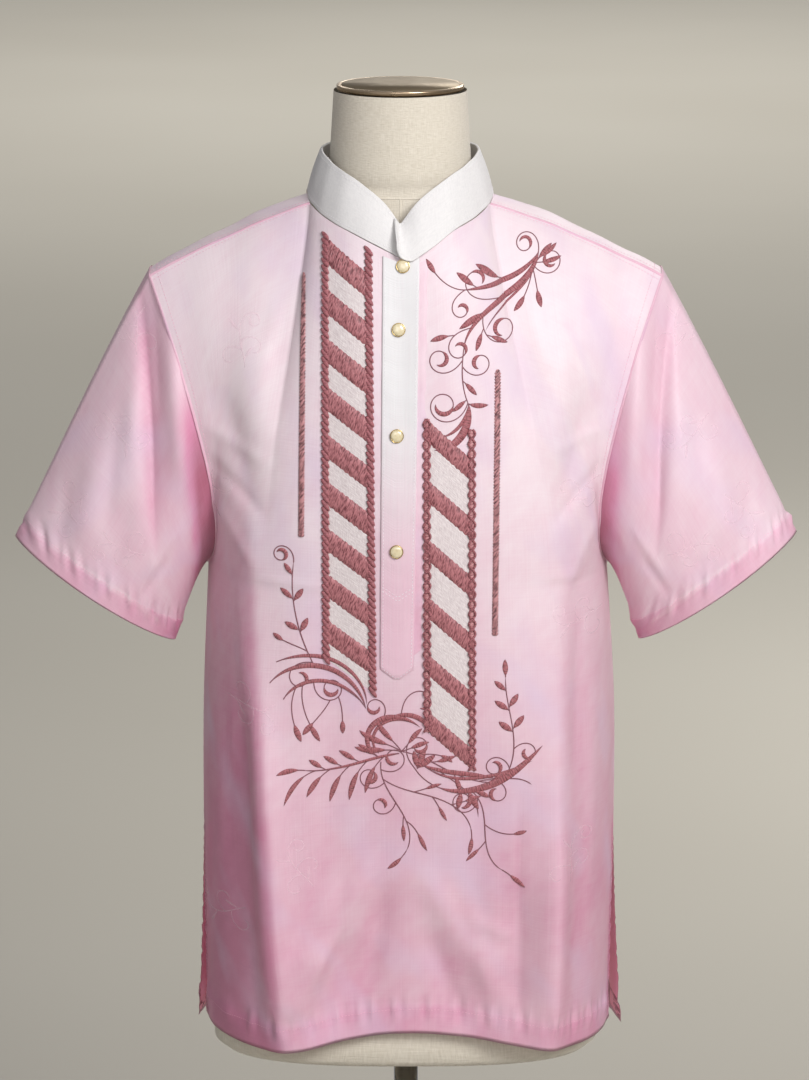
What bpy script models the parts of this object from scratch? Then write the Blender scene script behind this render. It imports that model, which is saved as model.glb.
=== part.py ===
"""Barong Tagalog shirt on a limbless dress form.

Metres, +Z up. The shirt's front faces -Y and the floor is Z = 0. The stand's axis is X = Y = 0.
Every cloth piece is a loft: a grid of points worked out from the sizes below, given its wall by
Solidify. "left" is the side towards -X.
"""

import math

import bpy
import numpy as np
from mathutils import Matrix, Vector
from mathutils.bvhtree import BVHTree

# ---------------------------------------------------------------- driving sizes
WALL = 0.0013  # the modelled cloth wall
SEAM_GAP = 0.0003  # between two pieces that are sewn together
SHOULDER_GAP = 0.0007  # the same where two facetted edges cross the shoulder
BAR_GAP = 0.0010  # under a bar of stitches
LAY_GAP = 0.0005  # between a piece and the panel that it lies on

ARMPIT_Z = 1.110
NECK_X = -0.005  # the form's neck stands a little to the left of the shirt
SEAM_FORWARD = 0.020  # the shoulder seam lies this far in front of the ridge
RIDGE_Y = 0.005
SHOULDER_HALF = 0.227  # centre to the sleeve seam
SHOULDER_Z = 1.377
NECK_SIDE_Z = 1.443
SHOULDER_BOW = 0.016  # how far the shoulder line falls below a straight slope near its end

HEM_BAND = 0.024
HEM_STEP = 0.0006  # the turned hem stands this much proud
CUFF_BAND = 0.022

COLLAR_WALL = 0.0020
COLLAR_GAP = 0.0005
BUTTON_RADIUS = 0.0061
BUTTON_HEIGHT = 0.0032

# Half sections of the body from the hem up: height, side half width on the left and right, where
# the pressed fold stands on the left and right, how far forward the fold and the middle stand.
FRONT_SECTIONS = (
    (0.680, 0.1835, 0.1865, 0.110, 0.128, 0.1220, 0.1130),
    (0.740, 0.1840, 0.1875, 0.119, 0.131, 0.1215, 0.1140),
    (0.860, 0.1845, 0.1895, 0.129, 0.134, 0.1190, 0.1180),
    (0.980, 0.1835, 0.1890, 0.131, 0.134, 0.1130, 0.1235),
    (1.110, 0.1780, 0.1810, 0.125, 0.127, 0.1020, 0.1270),
)
BACK_SECTIONS = (
    (0.680, 0.1905, 0.1980, 0.118, 0.122, 0.1180, 0.1140),
    (0.740, 0.1880, 0.1940, 0.120, 0.124, 0.1170, 0.1150),
    (0.860, 0.1845, 0.1895, 0.124, 0.128, 0.1140, 0.1160),
    (0.980, 0.1835, 0.1890, 0.126, 0.128, 0.1090, 0.1170),
    (1.110, 0.1780, 0.1810, 0.122, 0.124, 0.1000, 0.1200),
)
# Where a section's points stand from its middle to its side: place on the half section from 0 to
# 1, share of the way from fold to side, share of the fold's depth.
TURN_SHARE = 0.86
TURN_DEPTH = 0.37
SLANT_SHARE = 0.52
SLANT_DEPTH = 0.74
SECTION_KNOTS = (-1.0, -0.84, -0.67, -0.50, -0.22, 0.0, 0.22, 0.50, 0.67, 0.84, 1.0)

# Hem heights by place on the panel, from the left side to the right side.
FRONT_HEM = (
    (-1.00, 0.684),
    (-0.75, 0.6845),
    (-0.50, 0.6860),
    (0.00, 0.7010),
    (0.50, 0.6885),
    (0.75, 0.6830),
    (1.00, 0.679),
)
BACK_HEM = ((-1.00, 0.679), (-0.50, 0.6790), (0.00, 0.6810), (0.50, 0.6790), (1.00, 0.672))

# Half of the neckline and of the collar's top edge, by angle from the front in degrees: distance
# from the neck's middle, Y and Z of the neckline, then the same three of the collar's top edge.
NECK_ROWS = (
    (0.0, 0.0000, -0.0890, 1.4000, 0.0000, -0.0730, 1.4280),
    (12.0, 0.0180, -0.0860, 1.4090, 0.0130, -0.0700, 1.4450),
    (28.0, 0.0385, -0.0780, 1.4185, 0.0340, -0.0600, 1.4615),
    (55.0, 0.0680, -0.0500, 1.4315, 0.0580, -0.0360, 1.4745),
    (75.0, 0.0795, -0.0220, 1.4390, 0.0670, -0.0150, 1.4805),
    (90.0, 0.0825, 0.0050, 1.4430, 0.0697, 0.0050, 1.4832),
    (115.0, 0.0790, 0.0350, 1.4455, 0.0660, 0.0330, 1.4840),
    (145.0, 0.0510, 0.0640, 1.4490, 0.0430, 0.0570, 1.4860),
    (180.0, 0.0000, 0.0760, 1.4510, 0.0000, 0.0680, 1.4870),
)
NECK_JOIN = 75.0  # the angle where the forward shoulder seam meets the neckline

# The upper half of each panel is lofted from the armpit level to its top edge. Rows by place from
# the middle to the side: the direction and pull at the armpit level, then at the top edge. X is
# towards the side.
FRONT_PULLS = (
    (0.00, 0.000, -0.010, 0.300, 0.000, 0.060, 0.210),
    (0.50, 0.000, -0.020, 0.330, 0.000, 0.190, 0.150),
    (0.80, -0.020, -0.120, 0.240, 0.050, 0.230, 0.190),
    (1.00, -0.085, -0.190, 0.100, 0.115, 0.240, 0.270),
)
BACK_PULLS = (
    (0.00, 0.000, 0.010, 0.330, 0.000, -0.070, 0.230),
    (0.30, 0.000, 0.020, 0.340, 0.000, -0.140, 0.180),
    (0.40, 0.000, 0.020, 0.345, 0.000, -0.220, 0.070),
    (0.50, 0.000, 0.020, 0.350, 0.000, -0.260, 0.000),
    (0.80, -0.010, 0.080, 0.300, 0.030, -0.270, 0.000),
    (1.00, -0.045, 0.190, 0.110, 0.060, -0.300, 0.040),
)
FRONT_NECK_SHARE = 0.50  # the part of the front's half width that ends at the neckline
BACK_NECK_SHARE = 0.40  # the same on the back, up to the neckline's side
BACK_SEAM_SHARE = 0.50  # and up to the forward seam
RIDGE_START = 0.10  # the column at the seam's start crosses the ridge this far along it

# Folds as soft ridges and, below zero, troughs: both ends as X and Z, half width, height.
FRONT_FOLDS = (
    (-0.129, 1.060, -0.111, 0.640, 0.013, 0.0070),
    (0.134, 0.920, 0.128, 0.640, 0.012, 0.0065),
    (0.104, 0.860, 0.098, 0.700, 0.012, -0.0035),
    (-0.150, 1.000, -0.156, 0.700, 0.014, -0.0035),
    (-0.108, 0.705, -0.070, 0.800, 0.016, 0.0045),
    (-0.088, 0.700, -0.045, 0.770, 0.018, -0.0040),
    (0.066, 0.762, 0.106, 0.744, 0.014, 0.0040),
    (0.020, 0.720, 0.060, 0.800, 0.022, -0.0040),
    (-0.168, 1.300, -0.128, 1.150, 0.014, -0.0040),
    (-0.140, 1.350, -0.118, 1.210, 0.018, 0.0035),
    (0.168, 1.300, 0.130, 1.150, 0.014, -0.0040),
    (0.145, 1.350, 0.120, 1.200, 0.018, 0.0035),
)
BACK_FOLDS = (
    (-0.095, 1.180, -0.105, 0.700, 0.018, 0.0050),
    (0.102, 1.140, 0.108, 0.690, 0.018, 0.0050),
    (-0.040, 1.020, -0.052, 0.690, 0.020, -0.0045),
    (0.035, 1.060, 0.046, 0.690, 0.022, -0.0045),
    (0.000, 0.940, -0.004, 0.690, 0.018, 0.0035),
    (-0.150, 1.280, -0.110, 1.150, 0.016, -0.0040),
    (0.150, 1.280, 0.110, 1.150, 0.016, -0.0040),
)
# Sleeve folds in the same way, with X counted outwards from the shirt's middle.
SLEEVE_FRONT_FOLDS = (
    (0.224, 1.350, 0.226, 1.170, 0.011, -0.0060),
    (0.206, 1.330, 0.203, 1.170, 0.010, 0.0045),
    (0.270, 1.240, 0.290, 1.120, 0.014, 0.0040),
    (0.250, 1.160, 0.262, 1.090, 0.010, -0.0030),
)
SLEEVE_BACK_FOLDS = (
    (0.228, 1.340, 0.236, 1.150, 0.013, -0.0060),
    (0.252, 1.280, 0.268, 1.120, 0.014, 0.0045),
    (0.208, 1.290, 0.212, 1.130, 0.010, 0.0040),
)
FOLD_FADE = 0.22  # the part of a fold's length over which each end fades

# Cuffs: the outer and inner corners of the opening as X outwards and Z, and its half depth.
CUFFS = {
    -1: ((0.3511, 1.1335), (0.2090, 1.0379)),
    1: ((0.3511, 1.1375), (0.2109, 1.0388)),
}
CUFF_HALF_DEPTH = 0.050
CUFF_Y = -0.002
CUFF_SHARPNESS = 1.35  # 1 is an ellipse, more makes the opening's two fold edges sharper
SLEEVE_TOP_PULL = (0.130, 0.000, -0.230)
SLEEVE_FACE_PULL = (0.075, 0.055, -0.060)  # outwards, away from the middle plane, down
SLEEVE_UNDER_PULL = (0.045, 0.000, -0.040)
SLEEVE_START = 0.0014  # clear of the panels' edges
SLEEVE_END_PULL = 0.75  # share of the straight distance, along the sleeve's axis

# The raised bands of satin stitch: two rope columns and slanting bands between them, which leave
# windows. X of the columns' middles, top and bottom; heights; how far a band drops across.
ROPE_WIDTH = 0.0096
BAND_THICK = 0.0010
POST_GAP = 0.0100  # the inner column starts this far below the outer one
LATTICES = {
    "lattice_left": {
        "outer_x": (-0.0700, -0.0702),
        "inner_x": (-0.0324, -0.0292),
        "top": 1.4160,
        "band": 0.0213,
        "window": 0.0200,
        "bands": 9,
        "last_window": 0.0150,
        "drop": 0.0290,
        "gap": 0.0016,
    },
    "lattice_right": {
        "outer_x": (0.0180, 0.0188),
        "inner_x": (0.0570, 0.0585),
        "top": 1.2640,
        "band": 0.0196,
        "window": 0.0325,
        "bands": 6,
        "last_window": 0.0,
        "drop": 0.0360,
        "gap": 0.0007,
    },
}
BARS = {
    "bar_left": ((-0.0892, 1.3839), (-0.0917, 1.1582)),
    "bar_right": ((0.0799, 1.3047), (0.0781, 1.0703)),
}
BAR_WIDTH = 0.0054
BAR_STEP = 0.0100

PLACKET_WALL = 0.0013
PLACKET_TOP = (-0.0042, 1.3960)  # the middle of its upper end, X and Z
PLACKET_LOW = (-0.0080, 1.0410)  # the middle between its lower corners
PLACKET_WIDTH = (0.0322, 0.0292)  # above and below
PLACKET_POINT = 0.0108
PLACKET_TOP_RISE = 0.0060  # its upper corners follow the neckline
PLACKET_ROWS = 30
BUTTONS = ((-0.0026, 1.3938), (-0.0065, 1.3402), (-0.0080, 1.2494), (-0.0082, 1.1481))

# The collar's right end laps over the left one and hides half of the top button. By angle from the
# front: how far its lower edge moves in X and Z, and how far the lower and upper edges stand off.
LAP_ROWS = (
    (-4.0, 0.0050, 0.0115, 0.0078, 0.0032),
    (-1.5, 0.0012, 0.0055, 0.0088, 0.0032),
    (2.0, -0.0004, -0.0010, 0.0092, 0.0032),
    (6.0, 0.0000, -0.0062, 0.0092, 0.0032),
    (12.0, 0.0000, -0.0060, 0.0084, 0.0030),
    (22.0, 0.0000, -0.0040, 0.0062, 0.0022),
    (34.0, 0.0000, 0.0000, 0.0036, 0.0015),
    (50.0, 0.0000, 0.0000, 0.0000, 0.0000),
)
COLLAR_LEFT_END = 5.0
COLLAR_RIGHT_END = -4.0
COLLAR_BULGE = 0.0012

# The form's sections: height, half width, half depth, middle Y, and how square the section is.
FORM_ROWS = (
    (0.6600, 0.1560, 0.0860, 0.002, 2.8),
    (0.6625, 0.1680, 0.0960, 0.002, 2.8),
    (0.6690, 0.1760, 0.1020, 0.002, 2.8),
    (0.6850, 0.1775, 0.1035, 0.002, 2.7),
    (0.7600, 0.1760, 0.1040, 0.002, 2.6),
    (0.8600, 0.1640, 0.0980, 0.002, 2.4),
    (0.9600, 0.1480, 0.0930, 0.000, 2.3),
    (1.0600, 0.1520, 0.0960, -0.003, 2.3),
    (1.1600, 0.1620, 0.0990, -0.003, 2.3),
    (1.2400, 0.1680, 0.0920, 0.000, 2.2),
    (1.3000, 0.1820, 0.0740, 0.006, 2.2),
    (1.3400, 0.1960, 0.0560, 0.007, 2.1),
    (1.3700, 0.1990, 0.0400, 0.006, 2.0),
    (1.3900, 0.1900, 0.0330, 0.005, 2.0),
    (1.4060, 0.1630, 0.0330, 0.005, 2.0),
    (1.4210, 0.1310, 0.0300, 0.005, 2.0),
    (1.4310, 0.0900, 0.0230, 0.005, 2.0),
    (1.4390, 0.0720, 0.0340, 0.004, 2.0),
    (1.4520, 0.0660, 0.0580, 0.003, 2.0),
    (1.4640, 0.0632, 0.0600, 0.002, 2.0),
    (1.5359, 0.0588, 0.0588, 0.001, 2.0),
)
FORM_SIDES = 32
NECK_SHIFT_FROM = 1.30  # above this height the form drifts to the neck's middle
CAP_TOP = 1.5410
CAP_THICK = 0.0048
CAP_RADIUS = 0.0562

POLE_RADIUS = 0.0110
BASE_RADIUS = 0.1650
BASE_THICK = 0.0100
HUB_RADIUS = 0.0240
HUB_TOP = 0.0340
CHAMFER = 0.0012

# Turned profiles: radius and height.
BUTTON_SEATS = ((-1.0, 0.0), (1.0, 0.0), (0.0, -1.0), (0.0, 0.3))
BUTTON_PROFILE = (
    (0.0000, BUTTON_HEIGHT),
    (BUTTON_RADIUS * 0.38, BUTTON_HEIGHT * 0.96),
    (BUTTON_RADIUS * 0.66, BUTTON_HEIGHT * 0.80),
    (BUTTON_RADIUS * 0.76, BUTTON_HEIGHT * 0.62),
    (BUTTON_RADIUS * 0.88, BUTTON_HEIGHT * 0.72),
    (BUTTON_RADIUS, BUTTON_HEIGHT * 0.55),
    (BUTTON_RADIUS, BUTTON_HEIGHT * 0.20),
    (BUTTON_RADIUS * 0.86, 0.0),
    (0.0000, 0.0),
)
CAP_PROFILE = (
    (0.0000, -0.0006),
    (CAP_RADIUS - 0.0050, -0.0006),
    (CAP_RADIUS - 0.0034, 0.0000),
    (CAP_RADIUS - 0.0010, 0.0000),
    (CAP_RADIUS, -0.0012),
    (CAP_RADIUS, 0.0010 - CAP_THICK),
    (CAP_RADIUS - 0.0010, -CAP_THICK),
    (0.0000, -CAP_THICK),
)
POLE_PROFILE = (
    (0.0000, FORM_ROWS[0][0] - SEAM_GAP),
    (POLE_RADIUS, FORM_ROWS[0][0] - SEAM_GAP),
    (POLE_RADIUS, HUB_TOP + SEAM_GAP),
    (0.0000, HUB_TOP + SEAM_GAP),
)
BASE_PROFILE = (
    (0.0000, HUB_TOP),
    (HUB_RADIUS - CHAMFER, HUB_TOP),
    (HUB_RADIUS, HUB_TOP - CHAMFER),
    (HUB_RADIUS, BASE_THICK + CHAMFER),
    (HUB_RADIUS + 0.0040, BASE_THICK),
    (BASE_RADIUS - 0.0040, BASE_THICK - 0.0020),
    (BASE_RADIUS, BASE_THICK - 0.0045),
    (BASE_RADIUS, CHAMFER),
    (BASE_RADIUS - CHAMFER, 0.0),
    (0.0000, 0.0),
)

FRONT_COLUMNS = 36
FRONT_LOW_ROWS = 12
FRONT_HIGH_ROWS = 14
BACK_COLUMNS = 28
BACK_LOW_ROWS = 10
BACK_HIGH_ROWS = 14
SLEEVE_ROWS = 9
COLLAR_COLUMNS = 52

PINK = (0.86, 0.56, 0.68)
PALE_PINK = (0.92, 0.72, 0.80)
WHITE = (0.90, 0.88, 0.88)
ROSE = (0.40, 0.12, 0.14)


# ---------------------------------------------------------------- curves
def hermite(start, end, pull_start, pull_end, share):
    """A cubic from start to end with the given pulls, at share from 0 to 1."""
    square = share * share
    cube = square * share
    return (
        start * (2 * cube - 3 * square + 1)
        + pull_start * (cube - 2 * square + share)
        + end * (3 * square - 2 * cube)
        + pull_end * (cube - square)
    )


def spline(knots, values, key):
    """Values (..., knots, axes) at key (...), smooth from knot to knot."""
    knots = np.asarray(knots, float)
    key = np.clip(np.asarray(key, float), knots[0], knots[-1])
    values = np.broadcast_to(values, key.shape + np.shape(values)[-2:])
    slopes = np.gradient(values, knots, axis=-2)
    low = np.clip(np.searchsorted(knots, key, side="right") - 1, 0, len(knots) - 2)
    span = (knots[low + 1] - knots[low])[..., None]
    share = (key - knots[low])[..., None] / span
    at_low = low[..., None, None]
    start, pull_start = (np.take_along_axis(v, at_low, -2)[..., 0, :] for v in (values, slopes))
    end, pull_end = (np.take_along_axis(v, at_low + 1, -2)[..., 0, :] for v in (values, slopes))
    return hermite(start, end, pull_start * span, pull_end * span, share)


def table(rows, key):
    """The columns of a table at key, which its first column holds."""
    rows = np.asarray(rows, float)
    return spline(rows[:, 0], rows[:, 1:], key)


def fade(low, high, value):
    share = np.clip((value - low) / (high - low), 0.0, 1.0)
    return share * share * (3 - 2 * share)


# ---------------------------------------------------------------- surfaces
def grid_normals(points, closed=False):
    """Unit normals of a grid whose rows climb and whose columns run to the right, seen outside."""
    if closed:
        across = np.roll(points, -1, axis=1) - np.roll(points, 1, axis=1)
    else:
        across = np.gradient(points, axis=1)
    normals = np.cross(across, np.gradient(points, axis=0))
    return normals / np.linalg.norm(normals, axis=2, keepdims=True)


def fold_height(points, folds, side=1.0):
    """How far the folds lift each point, by its X and Z."""
    total = np.zeros(points.shape[:-1])
    for x_start, z_start, x_end, z_end, half_width, height in folds:
        along_x = x_end - x_start
        along_z = z_end - z_start
        length = math.hypot(along_x, along_z)
        from_x = side * points[..., 0] - x_start
        from_z = points[..., 2] - z_start
        along = (from_x * along_x + from_z * along_z) / length**2
        off = (from_x * along_z - from_z * along_x) / length
        ends = fade(0.0, FOLD_FADE, along) * fade(0.0, FOLD_FADE, 1.0 - along)
        total += height * ends * np.exp(-((off / half_width) ** 2))
    return total


def section_points(rows, place, height, facing):
    """Points of the body's section: place from -1 to 1, facing -1 for the front, 1 for the back."""
    left, right, fold_left, fold_right, fold, middle = np.moveaxis(table(rows, height), -1, 0)
    across = []
    ahead = []
    for knot in SECTION_KNOTS:
        side, crease = (left, fold_left) if knot < 0 else (right, fold_right)
        sign = math.copysign(1.0, knot)
        part = abs(knot)
        if part == 1.0:
            across.append(sign * side)
            ahead.append(side * 0.0)
        elif part > 0.8:
            across.append(sign * (crease + TURN_SHARE * (side - crease)))
            ahead.append(TURN_DEPTH * fold)
        elif part > 0.6:
            across.append(sign * (crease + SLANT_SHARE * (side - crease)))
            ahead.append(SLANT_DEPTH * fold)
        elif part > 0.4:
            across.append(sign * crease)
            ahead.append(fold)
        else:
            across.append(sign * crease * part / 0.5)
            ahead.append(middle + (fold - middle) * (part / 0.5) ** 2)
    values = np.stack([np.stack(across, -1), facing * np.stack(ahead, -1)], axis=-1)
    flat = spline(SECTION_KNOTS, values, place)
    return np.stack([flat[..., 0], flat[..., 1], height + 0 * flat[..., 0]], axis=-1)


def neckline(angle, edge="low"):
    """A point of the neckline, or of the collar's top edge, by angle from the front."""
    turned = (np.asarray(angle, float) + 180.0) % 360.0 - 180.0
    rows = table(NECK_ROWS, np.abs(turned))
    first = 0 if edge == "low" else 3
    across = NECK_X + np.sign(turned) * rows[..., first]
    return np.stack([across, rows[..., first + 1], rows[..., first + 2]], axis=-1)


def shoulder_point(side, share, forward):
    """On the shoulder's slope: share 0 at the neck, 1 at the sleeve, forward of the ridge."""
    neck_x = NECK_X + side * NECK_ROWS[5][1]
    x = neck_x + share * (side * SHOULDER_HALF - neck_x)
    fall = NECK_SIDE_Z - SHOULDER_Z - SHOULDER_BOW
    ridge_z = NECK_SIDE_Z - fall * share - SHOULDER_BOW * share**2
    drop = 9.0 * forward**2
    return np.stack([x, RIDGE_Y - forward + 0 * x, ridge_z - drop], axis=-1)


def seam_point(side, share):
    """On the forward shoulder seam, which starts at the neckline."""
    slope = shoulder_point(side, share, SEAM_FORWARD)
    shift = neckline(side * NECK_JOIN) - shoulder_point(side, 0 * share, SEAM_FORWARD)
    return slope + shift * (1.0 - np.asarray(share)[..., None])


def front_edge(place):
    """The front's top edge: neckline in the middle, shoulder seams at the sides."""
    side = np.where(place < 0, -1.0, 1.0)
    part = np.abs(place)
    angle = side * NECK_JOIN * np.clip(part / FRONT_NECK_SHARE, 0.0, 1.0)
    share = np.clip((part - FRONT_NECK_SHARE) / (1.0 - FRONT_NECK_SHARE), 0.0, 1.0)
    return np.where((part < FRONT_NECK_SHARE)[..., None], neckline(angle), seam_point(side, share))


def upper_pulls(rows, place):
    """The pulls at the armpit level and at the top edge of a column."""
    pulls = table(rows, np.abs(place))
    outwards = np.stack([np.sign(place), 1 + 0 * place, 1 + 0 * place], axis=-1)
    return pulls[..., :3] * outwards, pulls[..., 3:] * outwards


def front_surface(place, low_rows, high_rows):
    """The front panel's outer face: a grid of rows from the hem to the top edge."""
    hem = table(FRONT_HEM, place)[..., 0]
    rows = []
    for height in low_rows:
        rows.append(section_points(FRONT_SECTIONS, place, hem + height * (ARMPIT_Z - hem), -1))
    armpit = section_points(FRONT_SECTIONS, place, ARMPIT_Z + 0 * place, -1)
    top = front_edge(place)
    pull_low, pull_top = upper_pulls(FRONT_PULLS, place)
    for share in high_rows:
        rows.append(hermite(armpit, top, pull_low, pull_top, share))
    return np.array(rows)


def back_surface(place, low_rows, high_rows):
    """The back panel's outer face, over the ridge to the forward seam."""
    hem = table(BACK_HEM, place)[..., 0]
    rows = []
    for height in low_rows:
        rows.append(section_points(BACK_SECTIONS, place, hem + height * (ARMPIT_Z - hem), 1))
    armpit = section_points(BACK_SECTIONS, place, ARMPIT_Z + 0 * place, 1)
    side = np.where(place < 0, -1.0, 1.0)
    part = np.abs(place)
    pull_low, pull_top = upper_pulls(BACK_PULLS, place)
    columns = []
    for index, reach in enumerate(part):
        steps = np.linspace(0.0, 1.0, 40)[:, None]
        if reach <= BACK_NECK_SHARE:
            ends = [neckline(side[index] * (180.0 - 90.0 * reach / BACK_NECK_SHARE))]
        elif reach < BACK_SEAM_SHARE:
            share = (reach - BACK_NECK_SHARE) / (BACK_SEAM_SHARE - BACK_NECK_SHARE)
            ends = [
                shoulder_point(side[index], RIDGE_START * share, 0.0),
                neckline(side[index] * (90.0 + (NECK_JOIN - 90.0) * share)),
            ]
        else:
            share = (reach - BACK_SEAM_SHARE) / (1.0 - BACK_SEAM_SHARE)
            ends = [
                shoulder_point(side[index], RIDGE_START + (1.0 - RIDGE_START) * share, 0.0),
                seam_point(side[index], share),
            ]
        path = hermite(armpit[index], ends[0], pull_low[index], pull_top[index], steps)
        if len(ends) == 2:
            step = ends[1] - ends[0]
            over = hermite(ends[0], ends[1], step * (1, 1, 0), step * (1, 1, 2), steps)
            path = np.concatenate([path, over[1:]])
        columns.append(path)
    for share in high_rows:
        row = []
        for path in columns:
            steps = np.linalg.norm(np.diff(path, axis=0), axis=1)
            length = np.concatenate([[0.0], np.cumsum(steps)])
            place_on = share * length[-1]
            row.append([np.interp(place_on, length, path[:, axis]) for axis in range(3)])
        rows.append(row)
    return np.array(rows)


def low_rows_of(count):
    """Shares of the height from hem to armpit, with a pair of rows at the hem band's top."""
    band = HEM_BAND / (ARMPIT_Z - 0.684)
    plain = np.linspace(0.0, 1.0, count + 1)[:-1]
    rest = [share for share in plain[1:] if share > band * 1.6]
    return np.array([0.0, band * 0.96, band * 1.04, *rest])


def panel_points(surface, folds, facing, columns, low_count, high_count):
    """A panel's outer face with its folds and its hem band. Its sides stop half a seam short."""
    place = np.linspace(-1.0, 1.0, columns + 1)
    points = surface(place, low_rows_of(low_count), np.linspace(0.0, 1.0, high_count + 1))
    lift = fold_height(points, folds) * fade(0.0, 0.12, 1.0 - np.abs(place))[None, :]
    lift[:2] += HEM_STEP
    points = points - facing * grid_normals(points) * lift[..., None]
    points[..., 1] += facing * SEAM_GAP * np.clip((np.abs(place) - 0.9) / 0.1, 0.0, 1.0)[None, :]
    return points


def front_points():
    counts = (FRONT_COLUMNS, FRONT_LOW_ROWS, FRONT_HIGH_ROWS)
    points = panel_points(front_surface, FRONT_FOLDS, -1, *counts)
    seam = np.abs(np.linspace(-1.0, 1.0, FRONT_COLUMNS + 1)) >= FRONT_NECK_SHARE
    points[-1, seam] += (0.0, -SHOULDER_GAP, -SHOULDER_GAP)
    return points


def back_points():
    return panel_points(back_surface, BACK_FOLDS, 1, BACK_COLUMNS, BACK_LOW_ROWS, BACK_HIGH_ROWS)


def armhole(side, front, back):
    """The closed edge that a sleeve is set to, and how far round it each point is.

    It runs from the ridge down the front and up the back, through the panels' own edge points.
    """
    column = 0 if side < 0 else -1
    front_side = front[-1 - FRONT_HIGH_ROWS :, column]
    back_side = back[-1 - BACK_HIGH_ROWS :, column]
    ridge = int(np.argmax(back_side[:, 2]))
    down = np.concatenate([back_side[ridge:-1], front_side[::-1]])
    up = back_side[1 : ridge + 1]
    turns = []
    for first, path in ((0.0, down), (math.pi, np.concatenate([down[-1:], up]))):
        steps = np.linalg.norm(np.diff(path, axis=0), axis=1)
        length = np.concatenate([[0.0], np.cumsum(steps)])
        turns.append(first + math.pi * length / length[-1])
    loop = np.concatenate([down, up[:-1]])
    return loop, np.concatenate([turns[0], turns[1][1:-1]])


def cuff_ring(side, turn):
    """The sleeve's opening, from its outer corner round the front."""
    (outer_x, outer_z), (inner_x, inner_z) = CUFFS[side]
    along = np.cos(turn) / 2
    depth = np.sign(np.sin(turn)) * np.abs(np.sin(turn)) ** CUFF_SHARPNESS
    x = (outer_x + inner_x) / 2 + (outer_x - inner_x) * along
    z = (outer_z + inner_z) / 2 + (outer_z - inner_z) * along
    return np.stack([side * x, CUFF_Y - CUFF_HALF_DEPTH * depth, z], axis=-1)


def sleeve_points(side, front, back):
    """A sleeve's outer face: rows from the armhole to the cuff, columns round from the top."""
    loop, turn = armhole(side, front, back)
    start = loop + (side * SLEEVE_START, 0.0, 0.0)
    end = cuff_ring(side, turn)
    top = np.clip(np.cos(turn), 0.0, 1.0)[:, None] ** 2
    under = np.clip(-np.cos(turn), 0.0, 1.0)[:, None] ** 2
    face = np.sin(turn)[:, None] ** 2
    forward = np.stack([1 + 0 * turn, -np.sign(np.sin(turn)), 1 + 0 * turn], axis=-1)
    pull = top * SLEEVE_TOP_PULL + under * SLEEVE_UNDER_PULL
    pull = (pull + face * SLEEVE_FACE_PULL * forward) * (side, 1, 1)
    length = np.linalg.norm(end - start, axis=1)
    band = CUFF_BAND / length
    plain = np.linspace(0.0, 1.0, SLEEVE_ROWS + 1)[:-1, None]
    shares = plain * (1 - band * 1.08)
    shares = np.concatenate([shares, [1 - band * 1.06, 1 - band * 0.94, 1 + 0 * band]])
    rows = [hermite(start, end, pull, (end - start) * SLEEVE_END_PULL, s[:, None]) for s in shares]
    points = np.array(rows)
    normals = grid_normals(points, closed=True)
    centre = points.mean(axis=1, keepdims=True)
    outwards = np.sign(((points - centre) * normals).sum())
    is_front = points[..., 1] < centre[..., 1]
    lift = np.where(
        is_front,
        fold_height(points, SLEEVE_FRONT_FOLDS, side),
        fold_height(points, SLEEVE_BACK_FOLDS, side),
    )
    lift *= np.abs(np.sin(turn))[None, :]
    lift[-2:] += HEM_STEP
    return points + outwards * normals * lift[..., None]


def collar_points():
    """The band's outer face: rows climb, columns run from the left end round the back."""
    turn = np.linspace(COLLAR_LEFT_END, COLLAR_RIGHT_END - 360.0, COLLAR_COLUMNS + 1)
    # More columns go to the lapped end, whose outline turns sharply.
    share = np.linspace(0.0, 1.0, COLLAR_COLUMNS + 1)
    turn = turn[0] + (turn[-1] - turn[0]) * (share + 0.045 * np.sin(math.pi * share) ** 2 * share)
    low = neckline(turn)
    high = neckline(turn, "high")
    on_right = turn < -180.0
    angle = np.where(on_right, turn + 360.0, LAP_ROWS[-1][0])
    shift_x, shift_z, stand_low, stand_high = np.moveaxis(table(LAP_ROWS, angle), -1, 0)
    low += np.stack([shift_x, -stand_low, shift_z], axis=-1)
    high += np.stack([0 * turn, -stand_high, 0 * turn], axis=-1)
    rise = high - low
    low = low + rise / np.linalg.norm(rise, axis=1, keepdims=True) * COLLAR_GAP
    rows = []
    for part in np.linspace(0.0, 1.0, 4):
        rows.append(low + (high - low) * part)
    points = np.array(rows)
    middle = np.array((NECK_X, 0.0, 0.0))
    away = (points - middle) * (1, 1, 0)
    away /= np.linalg.norm(away, axis=2, keepdims=True)
    swell = COLLAR_BULGE * np.sin(math.pi * np.linspace(0.0, 1.0, 4))[:, None, None]
    return points + away * swell


# ---------------------------------------------------------------- objects
def material(name, colour, roughness, metallic=0.0):
    made = bpy.data.materials.new(name)
    made.use_nodes = True
    shader = made.node_tree.nodes["Principled BSDF"]
    shader.inputs["Base Color"].default_value = (*colour, 1.0)
    shader.inputs["Roughness"].default_value = roughness
    shader.inputs["Metallic"].default_value = metallic
    return made


def add_mesh(name, points, faces, made_of):
    mesh = bpy.data.meshes.new(name)
    used = sorted({corner for face in faces for corner in face})
    renumber = {old: new for new, old in enumerate(used)}
    faces = [tuple(renumber[corner] for corner in face) for face in faces]
    mesh.from_pydata([tuple(points[index]) for index in used], [], faces)
    mesh.shade_smooth()
    mesh.materials.append(made_of)
    obj = bpy.data.objects.new(name, mesh)
    COLLECTION.objects.link(obj)
    return obj


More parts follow.
